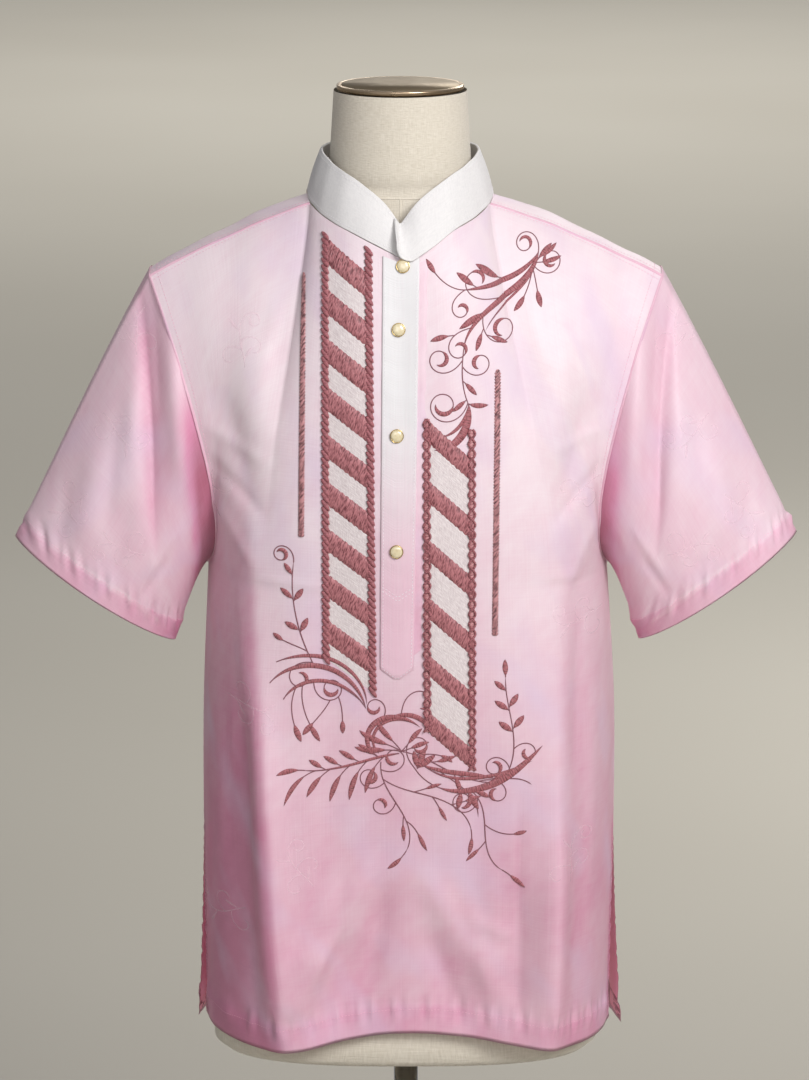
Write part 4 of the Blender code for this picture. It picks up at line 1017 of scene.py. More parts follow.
# ---------------------------------------------------------------- dress form and stand
FORM_SIDES = 96
FORM_FINE_ROWS = 150
FORM_SEAM_Z = 1.449  # the seam round the neck's foot
# Height and Y of the linen's front in the middle, carried forward to meet the neck in one line.
THROAT = mm([(1300, -68), (1340, -64), (1400, -61.5), (1452, -56), (1453, 0)])


def form_points():
    """The torso and neck as rings of superellipse sections."""
    heights = np.linspace(FORM_ROWS[4, 0], FORM_ROWS[-1, 0], FORM_FINE_ROWS)
    turn = 2 * math.pi * np.arange(FORM_SIDES) / FORM_SIDES
    rings = []
    for height in (*FORM_ROWS[:4, 0], *heights):
        sizes = [np.interp(height, FORM_ROWS[:, 0], column) for column in FORM_ROWS.T[1:]]
        half_width, half_depth, middle_y, square = sizes
        shift = NECK_X * fade(NECK_SHIFT_FROM, NECK_ROWS[0][3], height)
        across = np.sign(np.cos(turn)) * np.abs(np.cos(turn)) ** (2 / square)
        ahead = np.sign(np.sin(turn)) * np.abs(np.sin(turn)) ** (2 / square)
        deep = middle_y + half_depth * ahead
        pull = np.minimum(np.interp(height, *THROAT.T) - deep, 0.0)
        deep += pull * fade(0.07, 0.02, half_width * np.abs(across)) * np.clip(-ahead, 0.0, 1.0)
        rings.append(np.stack([shift + half_width * across, deep, height + 0 * turn], axis=-1))
    return np.array(rings)


# Cream linen stretched over padding: a plain weave with uneven threads, matt.
LINEN = woven(
    "cream linen", ((0.0011, 0.012), (0.012, 0.0011), 1.0), ("E2DBCC", "C8BFAC"), (-0.5, 0.9),
    (0.0005, 0.6), Roughness=0.85, Sheen_Weight=0.2, Specular_IOR_Level=0.25,
)
FORM = form_points()
FORM_LINEN = grid_mesh("form_linen", FORM, cut_of(FORM, 0.86), closed=True)
finished(FORM_LINEN, LINEN, "linen", "form_torso")


def form_seams():
    """Raised seams of the linen: round the neck's foot, and down the middle in front and behind."""
    outs = ring_normals(FORM)
    at = int(np.argmin(np.abs(FORM[:, 0, 2] - FORM_SEAM_Z)))
    ring = np.append(np.arange(FORM_SIDES), 0)
    lines = [(FORM[at, ring], outs[at, ring])]
    for column in (FORM_SIDES // 4, 3 * FORM_SIDES // 4):
        lines.append((FORM[5 : at + 1, column], outs[5 : at + 1, column]))
    return finished(joined("form_seams", [raised(*line, 0.0009, 0.0005) for line in lines]), LINEN, "linen")


CAP_CENTRE = (NECK_X, FORM_ROWS[-1][3], CAP_TOP)
CAP_DISC = [(0.0, 0.0), (CAP_RADIUS - 0.0042, 0.0), (CAP_RADIUS - 0.0042, -0.004), (0.0, -0.004)]
CAP_RIM = [(CAP_RADIUS - 0.004, -0.0006), *arc((CAP_RADIUS - 0.0024, -0.0016), 0.0016, 90, 60, 4)]
CAP_RIM += [*arc((CAP_RADIUS - 0.0012, -0.0014), 0.0012, 60, 0, 6), (CAP_RADIUS, -0.004)]
CAP_RIM += [(CAP_RADIUS - 0.0006, -CAP_THICK), (CAP_RADIUS - 0.004, -CAP_THICK)]
CAP_RIM += [(CAP_RADIUS - 0.004, -0.0006)]
finished(turned("form_cap_disc", CAP_DISC, 96, CAP_CENTRE), BRONZE, "bronze_metal", "form_cap")
finished(turned("form_cap_rim", CAP_RIM, 96, CAP_CENTRE), POLISHED_BRONZE, "bronze_metal")
POLE = [(0.0, FORM_ROWS[0][0] - SEAM_GAP), (POLE_RADIUS, FORM_ROWS[0][0] - SEAM_GAP)]
POLE += [(POLE_RADIUS, HUB_TOP + SEAM_GAP), (0.0, HUB_TOP + SEAM_GAP)]
finished(turned("stand_pole_tube", POLE, 64), CHROME, "chromed_steel", "stand_pole")
BASE = [(0.0, HUB_TOP), (HUB_RADIUS - CHAMFER, HUB_TOP), (HUB_RADIUS, HUB_TOP - CHAMFER)]
BASE += [(HUB_RADIUS, BASE_THICK + CHAMFER), (HUB_RADIUS + 0.004, BASE_THICK)]
BASE += [(BASE_RADIUS - 0.004, BASE_THICK - 0.002), (BASE_RADIUS, BASE_THICK - 0.0045)]
BASE += [(BASE_RADIUS, CHAMFER), (BASE_RADIUS - CHAMFER, 0.0), (0.0, 0.0)]
finished(turned("stand_base_disc", BASE, 128), CHROME, "chromed_steel", "stand_base")


# ---------------------------------------------------------------- thread
ROSE = "AE676D"
ROSE_SHADE = "733F42"
MAUVE = "87565F"
PALE_THREAD = "E4B0C4"
WHITE_THREAD = "ECE9EC"
# A paler pink and a faint painted glow for the slit facings, standing for light from behind.
FACING_LIT_PINK = "FFC2D8"
FACING_GLOW = "E05E88"
CROWN = ((-1.0, 0.0), (-0.8, 0.66), (-0.35, 0.95), (0.35, 0.95), (0.8, 0.66), (1.0, 0.0))
THREAD_OUT = 0.00012  # an embroidered line's foot above the cloth


def satin(name, pale, dark, lean, line=None, contrast=2.6):
    """Satin stitch in rayon: smooth threads lie side by side across a shape, turned by lean, and
    shine softly. Threads of 0.4 mm are drawn as bundles of 1.2 mm, or they would not show. Their
    pale and dark streaks are painted sheen on the bundles and painted shade between them. The
    single threads of a thin line can have a colour of their own."""
    made, tree, _ = finish_of(
        name, Roughness=0.44, Specular_IOR_Level=0.5, Sheen_Weight=0.2, Sheen_Roughness=0.4,
    )
    bundles = cloud(tree, 0.0012, 0.0075, 1.0, lean)
    threads = layered(tree, bundles, (cloud(tree, 0.0006, 0.004, 1.0, lean), 0.45))
    patches = cloud(tree, 0.007, 0.005)
    cover = layered(tree, 0.435 - 0.725 * contrast, (threads, contrast), (patches, 0.5))
    # Pale streaks are painted sheen on the thread bundles, dark ones painted shade between them.
    colour = painted(tree, dark, (pale, cover))
    if line is not None:
        tone = add(tree, "ShaderNodeAttribute", attribute_name="tone").outputs["Fac"]
        colour = painted(tree, line, (colour, tone))
    return coloured(made, colour, threads, 0.0008, 0.8)


def plain_thread(name, colour):
    """Sewing thread: a hard, slightly shiny twist."""
    return finish_of(name, Roughness=0.5, Base_Color=linear(colour), Specular_IOR_Level=0.45)[0]


SATIN = satin("rose satin and mauve stem stitch", ROSE, ROSE_SHADE, 0.0, MAUVE)
SLANT_SATIN = satin("rose satin stitch, slanting", "B67579", "6C363C", 0.35, None, 2.7)
ZIGZAG = satin("rose zigzag satin stitch", "C0888A", "5C3439", 0.9, None, 5.0)
CORD_THREAD = satin("rose cord stitch", "A9656B", "69343A", 0.3)
BED_THREAD = satin("rose underlay stitch", "CF9496", "95585D", 0.2)
SEWING = plain_thread("pink sewing thread", PALE_THREAD)
WHITE_SEWING = plain_thread("white sewing thread", WHITE_THREAD)


def laid(tree, places, out=THREAD_OUT, facing=-1.0):
    """Points and normals of a line of (X, Z) laid on a piece, as far as it lies on it."""
    seats = [seated(tree, x, z, out, facing) for x, z in places]
    seats = [seat for seat in seats if seat[0] is not None]
    return (np.array([tuple(seat[part]) for seat in seats]) for part in (0, 1))


def sideways(points, normals):
    """Unit vectors across a laid line, to its right as seen from outside."""
    side = np.cross(np.gradient(points, axis=0), normals)
    return side / np.linalg.norm(side, axis=1, keepdims=True)


def raised(points, normals, half, height):
    """A raised strip of thread along a laid line, and its UV in metres."""
    side = sideways(points, normals)
    half = np.broadcast_to(half, len(points))[:, None]
    height = np.broadcast_to(height, len(points))[:, None]
    rows = [points + side * half * across + normals * height * rise for across, rise in CROWN]
    across = half * np.array(CROWN)[:, 0]
    return np.stack(rows, axis=1), np.stack([run_of(points)[:, None] + 0 * across, across], axis=-1)


def joined(name, grids):
    """One mesh from many grids of points and UV, with or without a tone."""
    pieces = [grid_mesh(name, *grid) for grid in grids]
    target = pieces[0]
    with bpy.context.temp_override(active_object=target, selected_editable_objects=pieces):
        bpy.ops.object.join()
    target.name = name
    target.data.name = name
    return target


# ---------------------------------------------------------------- stitches that follow a line
STITCH_INPUTS = (
    ("Spacing", "NodeSocketFloat"), ("Length", "NodeSocketFloat"), ("Width", "NodeSocketFloat"),
    ("Height", "NodeSocketFloat"), ("Turn", "NodeSocketFloat"), ("Uneven", "NodeSocketFloat"),
    ("Detail", "NodeSocketInt"), ("Seed", "NodeSocketInt"), ("Thread", "NodeSocketMaterial"),
)


def one_stitch(tree, given):
    """A rounded stitch of the given size, with its own length and width as UV."""
    ball = add(tree, "GeometryNodeMeshIcoSphere", {"Radius": 0.5, "Subdivisions": given["Detail"]})
    size = {"X": given["Length"], "Y": given["Width"], "Z": given["Height"]}
    size = add(tree, "ShaderNodeCombineXYZ", size).outputs[0]
    shaped = {"Geometry": ball.outputs["Mesh"], "Scale": size}
    shaped = add(tree, "GeometryNodeTransform", shaped).outputs[0]
    place = add(tree, "GeometryNodeInputPosition").outputs[0]
    stored = {"Geometry": shaped, "Name": "cut", "Value": place}
    return add(
        tree, "GeometryNodeStoreNamedAttribute", stored, data_type="FLOAT2", domain="CORNER"
    ).outputs[0]


def facing_out(tree, given):
    """Rotation of a stitch: flat on the cloth, along the line, turned by a slightly uneven angle."""
    out = add(tree, "GeometryNodeInputNamedAttribute", {"Name": "out"}, data_type="FLOAT_VECTOR")
    ahead = add(tree, "GeometryNodeInputTangent").outputs[0]
    axes = {0: out.outputs[0], 1: ahead}
    flat = add(tree, "FunctionNodeAxesToRotation", axes, primary_axis="Z", secondary_axis="X")
    less = add(tree, "ShaderNodeMath", {0: given["Uneven"], 1: -1.0}, operation="MULTIPLY")
    spread = {2: less.outputs[0], 3: given["Uneven"], 8: given["Seed"]}
    spread = add(tree, "FunctionNodeRandomValue", spread, data_type="FLOAT").outputs[1]
    angle = add(tree, "ShaderNodeMath", {0: given["Turn"], 1: spread}, operation="ADD").outputs[0]
    turned = {"Axis": (0.0, 0.0, 1.0), "Angle": angle}
    turned = add(tree, "FunctionNodeAxisAngleToRotation", turned).outputs[0]
    both = {0: flat.outputs[0], 1: turned}
    return add(tree, "FunctionNodeRotateRotation", both, rotation_space="LOCAL").outputs[0]


def stitch_nodes():
    """Geometry Nodes that set stitches along a line at an even spacing."""
    tree = bpy.data.node_groups.new("stitches along a line", "GeometryNodeTree")
    tree.interface.new_socket("Line", in_out="INPUT", socket_type="NodeSocketGeometry")
    for name, kind in STITCH_INPUTS:
        tree.interface.new_socket(name, in_out="INPUT", socket_type=kind)
    tree.interface.new_socket("Stitches", in_out="OUTPUT", socket_type="NodeSocketGeometry")
    given = add(tree, "NodeGroupInput").outputs
    curve = add(tree, "GeometryNodeMeshToCurve", {"Mesh": given["Line"]}).outputs[0]
    even = {"Curve": curve, "Length": given["Spacing"]}
    even = add(tree, "GeometryNodeResampleCurve", even, mode="LENGTH").outputs[0]
    placed = {"Points": even, "Instance": one_stitch(tree, given), "Rotation": facing_out(tree, given)}
    placed = add(tree, "GeometryNodeInstanceOnPoints", placed).outputs[0]
    real = add(tree, "GeometryNodeRealizeInstances", {"Geometry": placed}).outputs[0]
    smooth = add(tree, "GeometryNodeSetShadeSmooth", {"Geometry": real}).outputs[0]
    dyed = {"Geometry": smooth, "Material": given["Thread"]}
    dyed = add(tree, "GeometryNodeSetMaterial", dyed).outputs[0]
    add(tree, "NodeGroupOutput", {"Stitches": dyed})
    return tree


STITCHES = stitch_nodes()


def stitched(name, lines, thread, sizes, turn=0.0, uneven=0.06, detail=1):
    """Stitches of (spacing, length, width, height) along laid lines, as one plain mesh."""
    corners, outs = (np.concatenate([line[part] for line in lines]) for part in (0, 1))
    starts = np.cumsum([0] + [len(points) for points, _ in lines])
    edges = [(k, k + 1) for a, b in zip(starts, starts[1:]) for k in range(a, b - 1)]
    mesh = bpy.data.meshes.new(name)
    mesh.from_pydata(corners.tolist(), edges, [])
    outward = mesh.attributes.new("out", "FLOAT_VECTOR", "POINT")
    outward.data.foreach_set("vector", outs.astype(np.float32).ravel())
    obj = shown(mesh)
    sewn = obj.modifiers.new("stitches", "NODES")
    sewn.node_group = STITCHES
    values = (*sizes, turn, uneven, detail, len(name), thread)
    for (key, _), value in zip(STITCH_INPUTS, values):
        sewn[STITCHES.interface.items_tree[key].identifier] = value
    return plain(obj)


# ---------------------------------------------------------------- scroll embroidery
# Every line of the scrolls grows from another at a share of its length, turned from its direction
# in degrees: name, from, share, turn, length in mm, bend at its start and end in degrees per mm,
# width in mm at its start and where it is widest, and the share where that is. A line that grows
# from nothing has a dash and gives X, Z and heading in mm and degrees in place of share and turn.
# A line that nothing grows from has a dot for its name.
UPPER_SCROLLS = """
spine - 116 1398 256 104 -1.75 1.95 1.4 5.4 0.36
fall spine 0.985 0 50 0.2 1.1 1 1.2 0.5
. spine 0 180 70 3 12.5 1 3.6 0.86
crest spine 0 -22 74 -1.25 -0.2 1.2 5 0.46
. spine 0.02 8 76 -1.85 1.4 1 2.2 0.44
. crest 0.96 -2 46 -2.2 -0.4 1 4.8 0.84
. crest 0.5 -40 30 -1.4 0.9 1 7.6 0.6
. crest 0.82 -34 24 -1.4 0.9 1 6.2 0.6
. crest 0.98 30 52 0.6 14.5 1 3.6 0.86
. spine 0.12 24 40 -0.6 -1.2 1 5 0.8
. spine 0.12 50 34 -0.8 0.9 1 5.4 0.78
. spine 0.1 70 66 2.4 11.6 1 3.8 0.86
. spine 0.08 112 24 1.6 0.6 1 4.6 0.62
. spine 0.05 136 22 1.2 0.6 1 4.4 0.62
. spine 0.09 164 22 0.6 -1.4 1 4.4 0.62
. spine 0.46 -34 70 0.9 -9.8 1 3.8 0.86
. spine 0.6 -18 30 1.6 -1 1 5.8 0.62
west_b spine 0.8 -44 66 0.4 12 1 3.6 0.86
. west_b 0.24 -40 22 1.6 0.4 1 5 0.62
. fall 0.2 -30 74 -1.4 -10.8 1 3.8 0.86
mid_curl spine 0.66 40 84 1.6 9.4 1 4.2 0.86
. mid_curl 0.14 -42 20 1.6 -1.2 1 4.8 0.6
. mid_curl 0.22 40 20 -1.6 1.2 1 4.8 0.6
. fall 0.3 34 60 2.4 11.2 1 4 0.86
. fall 0.56 44 18 -1.4 1 1 4.6 0.58
. fall 0.98 -18 56 -1.2 -2.4 1.2 7.4 0.46
. fall 0.99 -32 40 -1.4 -2.4 1 3.2 0.46
. fall 0.94 -38 104 -2.1 -8.2 1 4.2 0.88
. fall 0.96 42 18 2.6 1 1 4.6 0.52
. fall 0.9 -76 16 1.6 -2 1 4.4 0.54
"""
LOWER_SCROLLS = """
vine_w - -80 1042 118 98 -0.3 -0.45 1 1.2 0.3
. vine_w 0.985 0 60 3.2 14.5 1 4 0.84
. vine_w 0.16 36 34 1.6 -2.4 1 4.6 0.84
. vine_w 0.34 -40 15 -1.5 1.5 1 5.6 0.54
. vine_w 0.36 42 15 1.5 -1.5 1 5.4 0.54
. vine_w 0.62 -38 15 -1.5 1.5 1 5.4 0.54
. vine_w 0.64 40 15 1.5 -1.5 1 5.2 0.54
. vine_w 0.86 34 13 1.5 -1.5 1 4.8 0.54
. vine_w 0.05 58 62 1.4 11 1 3.6 0.86
. - -120 1026 50 108 -1.2 -1.15 1 4.8 0.5
. - -114 1045 26 104 -0.75 -1.45 1 3.8 0.48
plume_3 - -108 1012 60 78 -1.75 -1.05 1 3.6 0.46
. - -98 1024 30 74 -1.3 -1.25 1 2.4 0.4
. plume_3 0.22 -150 52 1.7 0.4 1 5.4 0.84
. plume_3 0.3 -124 56 1.4 0.2 1 5 0.84
under_curl plume_3 0.42 -100 84 2.6 10.4 1 4 0.88
. under_curl 0.3 -118 40 -1.2 0.6 1 5.2 0.82
. under_curl 0.4 -112 34 -1.8 0.6 1 4.8 0.82
heart - -26 962 150 78 -3.7 -1.2 1 5.2 0.44
. - -24 964 138 60 -3.9 -1.6 1 3 0.42
heart_2 heart 0.62 12 48 -1.3 -3.2 1 4.6 0.52
. heart 0.34 -30 66 0.2 13 1 3.6 0.86
. heart_2 0.22 80 58 -0.6 -9.4 1 3.2 0.86
. - -4 966 168 42 1.6 -2.2 1 5.8 0.66
. - -4 966 146 42 1.6 -2.2 1 5.6 0.66
. - -4 966 122 36 1.6 -2.2 1 5 0.66
. - -4 966 44 28 1.6 -2.2 1 4.6 0.66
. - -4 966 14 26 1.6 -2.2 1 4.4 0.66
branch_w - -6 964 188 88 0.55 -0.95 1.2 2.6 0.3
. branch_w 0.2 -40 22 -1.6 1.2 1 4.8 0.62
. branch_w 0.4 -38 22 -1.6 1.2 1 4.8 0.62
. branch_w 0.58 -36 20 -1.6 1.2 1 4.8 0.62
. branch_w 0.76 -32 18 -1.6 1.2 1 4.8 0.62
. branch_w 0.14 26 40 1.5 0.5 1 5 0.66
. branch_w 0.32 24 42 1.5 0.5 1 5 0.66
. branch_w 0.5 22 40 1.5 0.5 1 5 0.66
. branch_w 0.7 20 34 1.5 0.5 1 5 0.66
. branch_w 0.97 0 26 1.4 0.8 1 4.8 0.6
. branch_w 0.86 14 44 1.9 0.6 1 4.2 0.62
boat - 8 950 300 134 1.5 0.1 1 6.8 0.6
. - 14 954 318 104 1.2 0.1 1 3.2 0.52
boat_2 - 12 954 336 70 0.75 -0.45 1 4.6 0.5
. boat_2 0.97 10 34 1.2 -3.6 1 1.2 0.5
. boat_2 0.24 -26 60 0.6 -2.4 1 1.4 0.7
. - 10 950 34 20 1 -1 1 6 0.54
. - 10 950 66 20 1 -1 1 5.8 0.54
. - 10 950 98 17 1 -1 1 5 0.54
. - 8 950 128 64 -0.4 -11.6 1 3.6 0.86
east_line - -4 966 350 96 -1 1.55 1 1.2 0.4
. east_line 0.3 30 22 1.6 0 1 4.4 0.6
. east_line 0.52 -34 20 -1.6 0.6 1 4.4 0.6
. east_line 0.12 20 36 0.6 -3.4 1 3.8 0.82
vine_e_low east_line 0.78 26 60 -0.6 -12 1 3.6 0.86
. vine_e_low 0.2 34 18 -1 1 1 5.6 0.56
vine_e east_line 0.98 34 100 1.6 -0.8 1 1.2 0.3
. vine_e 0.14 38 60 3.4 12 1 3.8 0.86
. vine_e 0.32 -40 46 -2.4 -14 1 3.6 0.86
. vine_e 0.48 42 16 1.5 -1.5 1 5.8 0.54
. vine_e 0.5 -42 16 -1.5 1.5 1 5.6 0.54
. vine_e 0.68 40 16 1.5 -1.5 1 5.4 0.54
. vine_e 0.7 -40 15 -1.5 1.5 1 5.4 0.54
. vine_e 0.86 38 14 1.5 -1.5 1 5 0.54
. vine_e 0.98 0 16 1 -1 1 5 0.54
down_a - -22 956 262 92 2 -2.6 1 1.2 0.4
. down_a 0.22 -64 62 -3 -11.5 1 4 0.86
. down_a 0.44 -46 50 -2.6 -13 1 3.6 0.86
. down_a 0.6 -38 24 2 -1 1 3.8 0.66
. down_a 0.66 38 34 -3 1.4 1 3.8 0.72
. down_a 0.97 0 24 -1.6 -0.8 1 4.2 0.66
. down_a 0.08 60 66 2.6 10.6 1 3.6 0.86
down_b down_a 0.18 36 98 1.2 -2.2 1 1.2 0.4
. down_b 0.3 26 26 1.2 -1 1 3.4 0.7
. down_b 0.48 -34 26 -1.4 1 1 3.4 0.7
. down_b 0.66 34 28 2 -1.4 1 3.6 0.72
. down_b 0.97 0 24 -1.6 -0.8 1 4.2 0.66
. boat 0.4 -64 20 -0.6 0.6 1 6.2 0.54
. boat 0.36 -100 17 -0.6 0.6 1 5.6 0.54
. boat 0.44 -34 16 -0.6 0.6 1 4.8 0.54
south_e boat 0.42 -44 84 -2.6 2.9 1 1.2 0.4
. south_e 0.12 -34 70 -3.6 -9.6 1 4.2 0.88
. south_e 0.42 46 40 1.6 1.8 1 3.8 0.84
. south_e 0.6 -36 26 -2 1 1 3.8 0.68
. south_e 0.98 0 26 -1.4 0.8 1 4.4 0.66
"""
SCROLL_STEP = 0.9  # mm between the points of a line


def grown(parent, share, turn):
    """Where a line starts that grows from another, at a share of its length: X, Z and heading."""
    at = round(share * (len(parent[1]) - 1))
    return (*parent[0][at], parent[1][at] + turn)


def scroll_lines(rows):
    """Each line of a table as its points in mm, its headings and its half widths."""
    lines, named = [], {}
    for row in rows.strip().splitlines():
        name, parent, *values = row.split()
        *start, length, bend, end_bend, width, widest, peak = map(float, values)
        count = max(6, round(length / SCROLL_STEP))
        share = np.linspace(0.0, 1.0, count + 1)
        x, z, heading = start if parent == "-" else grown(named[parent], *start)
        turn = heading + length * (bend * share + (end_bend - bend) * share**2 / 2)
        middle = np.radians((turn[1:] + turn[:-1]) / 2)
        steps = np.stack([np.cos(middle), np.sin(middle)], axis=-1) * length / count
        places = np.concatenate([[(0.0, 0.0)], np.cumsum(steps, axis=0)]) + (x, z)
        plain_part = max(0.0, 2 * peak - 1)
        along = np.clip((share - plain_part) / (1 - plain_part), 0.0, 1.0)
        power = math.log(0.5) / math.log((peak - plain_part) / (1 - plain_part))
        thin = width * np.minimum(1.0, (1.0 - share) * 12)
        half = np.maximum(thin, widest * np.sin(np.pi * along**power) ** 0.75) / 2
        named[name] = (places, turn, half)
        lines.append(named[name])
    return lines


def scroll(name, rows):
    """The scrolls of a table in satin stitch, each line laid on the front."""
    grids = []
    for places, _, half in scroll_lines(rows):
        points, normals = laid(FRONT_TREE, places / 1000)
        half = half / 1000
        wide = fade(0.0006, 0.0011, half)[:, None] + np.zeros(len(CROWN))
        grids.append((*raised(points, normals, half, np.minimum(0.0002 + 0.55 * half, 0.0011)), wide))
    return joined(name, grids)


EMBROIDERY = [
    finished(scroll("scroll_upper", UPPER_SCROLLS), SATIN, "satin_stitch"),
    finished(scroll("scroll_lower", LOWER_SCROLLS), SATIN, "satin_stitch"),
]

# ---------------------------------------------------------------- lattices and bars
BAND_HEIGHT = 0.0016
BAND_OVER = 0.05  # how far a band runs in under the rope columns, as a share
BAND_ALONG = 34
BAND_ACROSS = 10
RAGGED = 0.0005  # how far the ends of single threads stand out at a band's edge
CORD_BASE = 0.0026
NET_OUT = 0.0002


def band_heights(sizes):
    """Where bands and windows begin and end, at the outer column, from the top down."""
    heights = [sizes["top"]]
    for index in range(sizes["bands"]):
        heights.append(heights[-1] - sizes["band"])
        last = index == sizes["bands"] - 1
        window = sizes["last_window"] if last else sizes["window"]
        if window:
            heights.append(heights[-1] - window)
    return heights


def across_lattice(sizes, height, fall):
    """X and Z at a share fall from the outer column to the inner one, from a height."""
    heights = band_heights(sizes)
    share = (heights[0] - height) / (heights[0] - heights[-1])
    ends = (sizes["outer_x"], sizes["inner_x"])
    outer, inner = (top + (low - top) * share for top, low in ends)
    return outer + (inner - outer) * fall, height - sizes["drop"] * fall


def band(sizes, high, low, shift):
    """One slanting band: a low crown of threads with slightly ragged edges."""
    falls = np.linspace(-BAND_OVER, 1 + BAND_OVER, BAND_ALONG + 1)
    sides = np.linspace(-1.0, 1.0, BAND_ACROSS + 1)
    rows = []
    for side in sides:
        row = []
        for fall in falls:
            x, z = across_lattice(sizes, (high + low) / 2, fall)
            ragged = waves(fall, (9.7, RAGGED, shift + side), (23.0, RAGGED / 2, 2 * shift))
            edge = (high - low) / 2 + ragged
            rise = (1 - abs(side) ** 3.5) * (1 + waves(fall, (4.1, 0.08, shift), (12.3, 0.06, side)))
            row.append((x, z + side * edge, THREAD_OUT + BAND_HEIGHT * rise))
        rows.append(row)
    along, over = np.meshgrid(falls * lattice_run(sizes) + shift, sides * (high - low) / 2)
    return laid_grid(rows), np.stack([along, over], axis=-1)


def lattice_run(sizes):
    """The slanting distance from one column of a lattice to the other."""
    return math.hypot(sizes["drop"], sizes["inner_x"][0] - sizes["outer_x"][0])


def column_line(sizes, fall, steps=None):
    """The middle of a rope column, from its foot to its top: 0 is the outer one, 1 the inner."""
    heights = band_heights(sizes)
    top = heights[0] + fall * (sizes["drop"] - POST_GAP)
    levels = np.linspace(heights[-1], top, steps or 120)
    return np.array([across_lattice(sizes, level, fall) for level in levels])


def lattice(name):
    """The bands and the flat cord bed of both columns, in place of the solid."""
    sizes = LATTICES[name]
    heights = band_heights(sizes)
    pairs = list(zip(heights, heights[1:]))[::2]
    grids = [band(sizes, high, low, 1.7 * index) for index, (high, low) in enumerate(pairs)]
    beds = [raised(*laid(FRONT_TREE, column_line(sizes, fall)), CORD_BASE, 0.001) for fall in (0, 1)]
    return [
        finished(joined(name + "_underlay", beds), BED_THREAD, "satin_stitch"),
        finished(joined(name + "_bands", grids), SLANT_SATIN, "satin_stitch", name),
    ]


CORD_STITCH = (0.0062, 0.0124, 0.0042, 0.0027)  # spacing, length, width and height


def slanting_cord(name):
    """Rope columns of slanting oval stitches, each tucked under the next."""
    lines = [tuple(laid(FRONT_TREE, column_line(LATTICES[name], fall), 0.0012)) for fall in (0, 1)]
    piece = stitched(name + "_cord", lines, CORD_THREAD, CORD_STITCH, 0.6, 0.07, 2)
    return finished(piece, CORD_THREAD, "satin_stitch")


CORD_LOOP = 0.0178  # length over which a strand of the twined cord swings out and back
CORD_SWING = 0.0029
CORD_HALF = 0.001


def twined_cord(name):
    """Rope columns of two strands that cross over and under each other in turn."""
    grids = []
    for fall in (0, 1):
        path = column_line(LATTICES[name], fall, 420)
        for start in (0.0, math.pi):
            turn = 2 * math.pi * path[:, 1] / CORD_LOOP + start
            swing = path + np.stack([CORD_SWING * np.sin(turn), 0 * turn], axis=-1)
            points, normals = laid(FRONT_TREE, swing, 0.001)
            points += normals * (0.0005 * (1 + np.cos(turn)))[:, None]
            grids.append(raised(points, normals, CORD_HALF, 0.0015))
    return finished(joined(name + "_cord", grids), CORD_THREAD, "satin_stitch")


# Fine off-white net behind the windows: a plain open mesh with uneven threads across.
NET = woven(
    "off-white net", ((0.007, 0.001), (0.001, 0.005), 0.8), ("F4ECEA", "D6C9C9"), (-0.9, 1.6),
    (0.0005, 0.7), Roughness=0.7, Alpha=0.86, Sheen_Weight=0.1,
)


def net(name):
    """The strip of net that shows in a lattice's windows."""
    sizes = LATTICES[name]
    heights = band_heights(sizes)
    falls = np.linspace(-0.04, 1.04, 16)
    rows = []
    for level in np.linspace(heights[-1], heights[0], 110):
        rows.append([(*across_lattice(sizes, level, fall), NET_OUT) for fall in falls])
    points = laid_grid(rows)
    piece = grid_mesh(name.replace("lattice", "net"), points, cut_of(points, lattice_run(sizes)))
    return finished(piece, NET, "white_cloth"), points


def bar(name):
    """A narrow bar of zigzag satin stitch with a pointed top."""
    (top_x, top_z), (low_x, low_z) = BARS[name]
    levels = np.arange(low_z, top_z, BAR_STEP)
    places = np.stack([low_x + (top_x - low_x) * (levels - low_z) / (top_z - low_z), levels], axis=-1)
    points, normals = laid(FRONT_TREE, places)
    zigzag = 1.0 + BAR_ZIGZAG * (np.arange(len(points)) % 4 - 1.5)
    half = BAR_WIDTH / 2 * zigzag * np.minimum(1.0, (top_z - levels) / BAR_POINT + 0.25)
    piece = joined(name + "_stitch", [raised(points, normals, half, BAR_HEIGHT)])
    return finished(piece, ZIGZAG, "satin_stitch", name)


for WORD in LATTICES:
    net(WORD)
    EMBROIDERY += lattice(WORD)
EMBROIDERY += [slanting_cord("lattice_left"), twined_cord("lattice_right")]
EMBROIDERY += [bar(WORD) for WORD in BARS]


# ---------------------------------------------------------------- sewing
SEWN = (0.0031, 0.0023, 0.0005, 0.00036)  # spacing, length, width and height of a machine stitch
HEM_SEWN_AT = HEM_BAND - 0.0016
CUFF_SEWN_AT = CUFF_BAND - 0.0016
SLIT_TOP = 0.86  # the side seams end here and leave a slit
EDGE_COLUMNS = 2  # a line of stitches runs this many columns from an edge
SEAM_SEWN_ROWS = 1.6  # and this many rows from a shoulder seam
HEM_ROWS = 40  # rows of a grid that reach well past its hem
WELT_HALF = 0.0014
WELT_HEIGHT = 0.0005
WELT_OUT = 0.0001
WELT_TONE = 0.55
FACING_COLUMNS = 12
STITCH_OUT = 0.0001  # a machine stitch lies this far above the cloth, its middle


def sewing(name, lines, thread=SEWING, slot="pink_cloth"):
    """Machine stitches along laid lines."""
    return finished(stitched(name, lines, thread, SEWN), thread, slot)


def on_grid(grid, normals, rows, columns):
    """A line through a grid of points at fractional rows, one for each column."""
    low = np.clip(rows.astype(int), 0, grid.shape[0] - 2)
    share = (rows - low)[:, None]
    points = grid[low, columns] * (1 - share) + grid[low + 1, columns] * share
    outs = normals[low, columns] * (1 - share) + normals[low + 1, columns] * share
    outs /= np.linalg.norm(outs, axis=1, keepdims=True)
    return points + outs * STITCH_OUT, outs


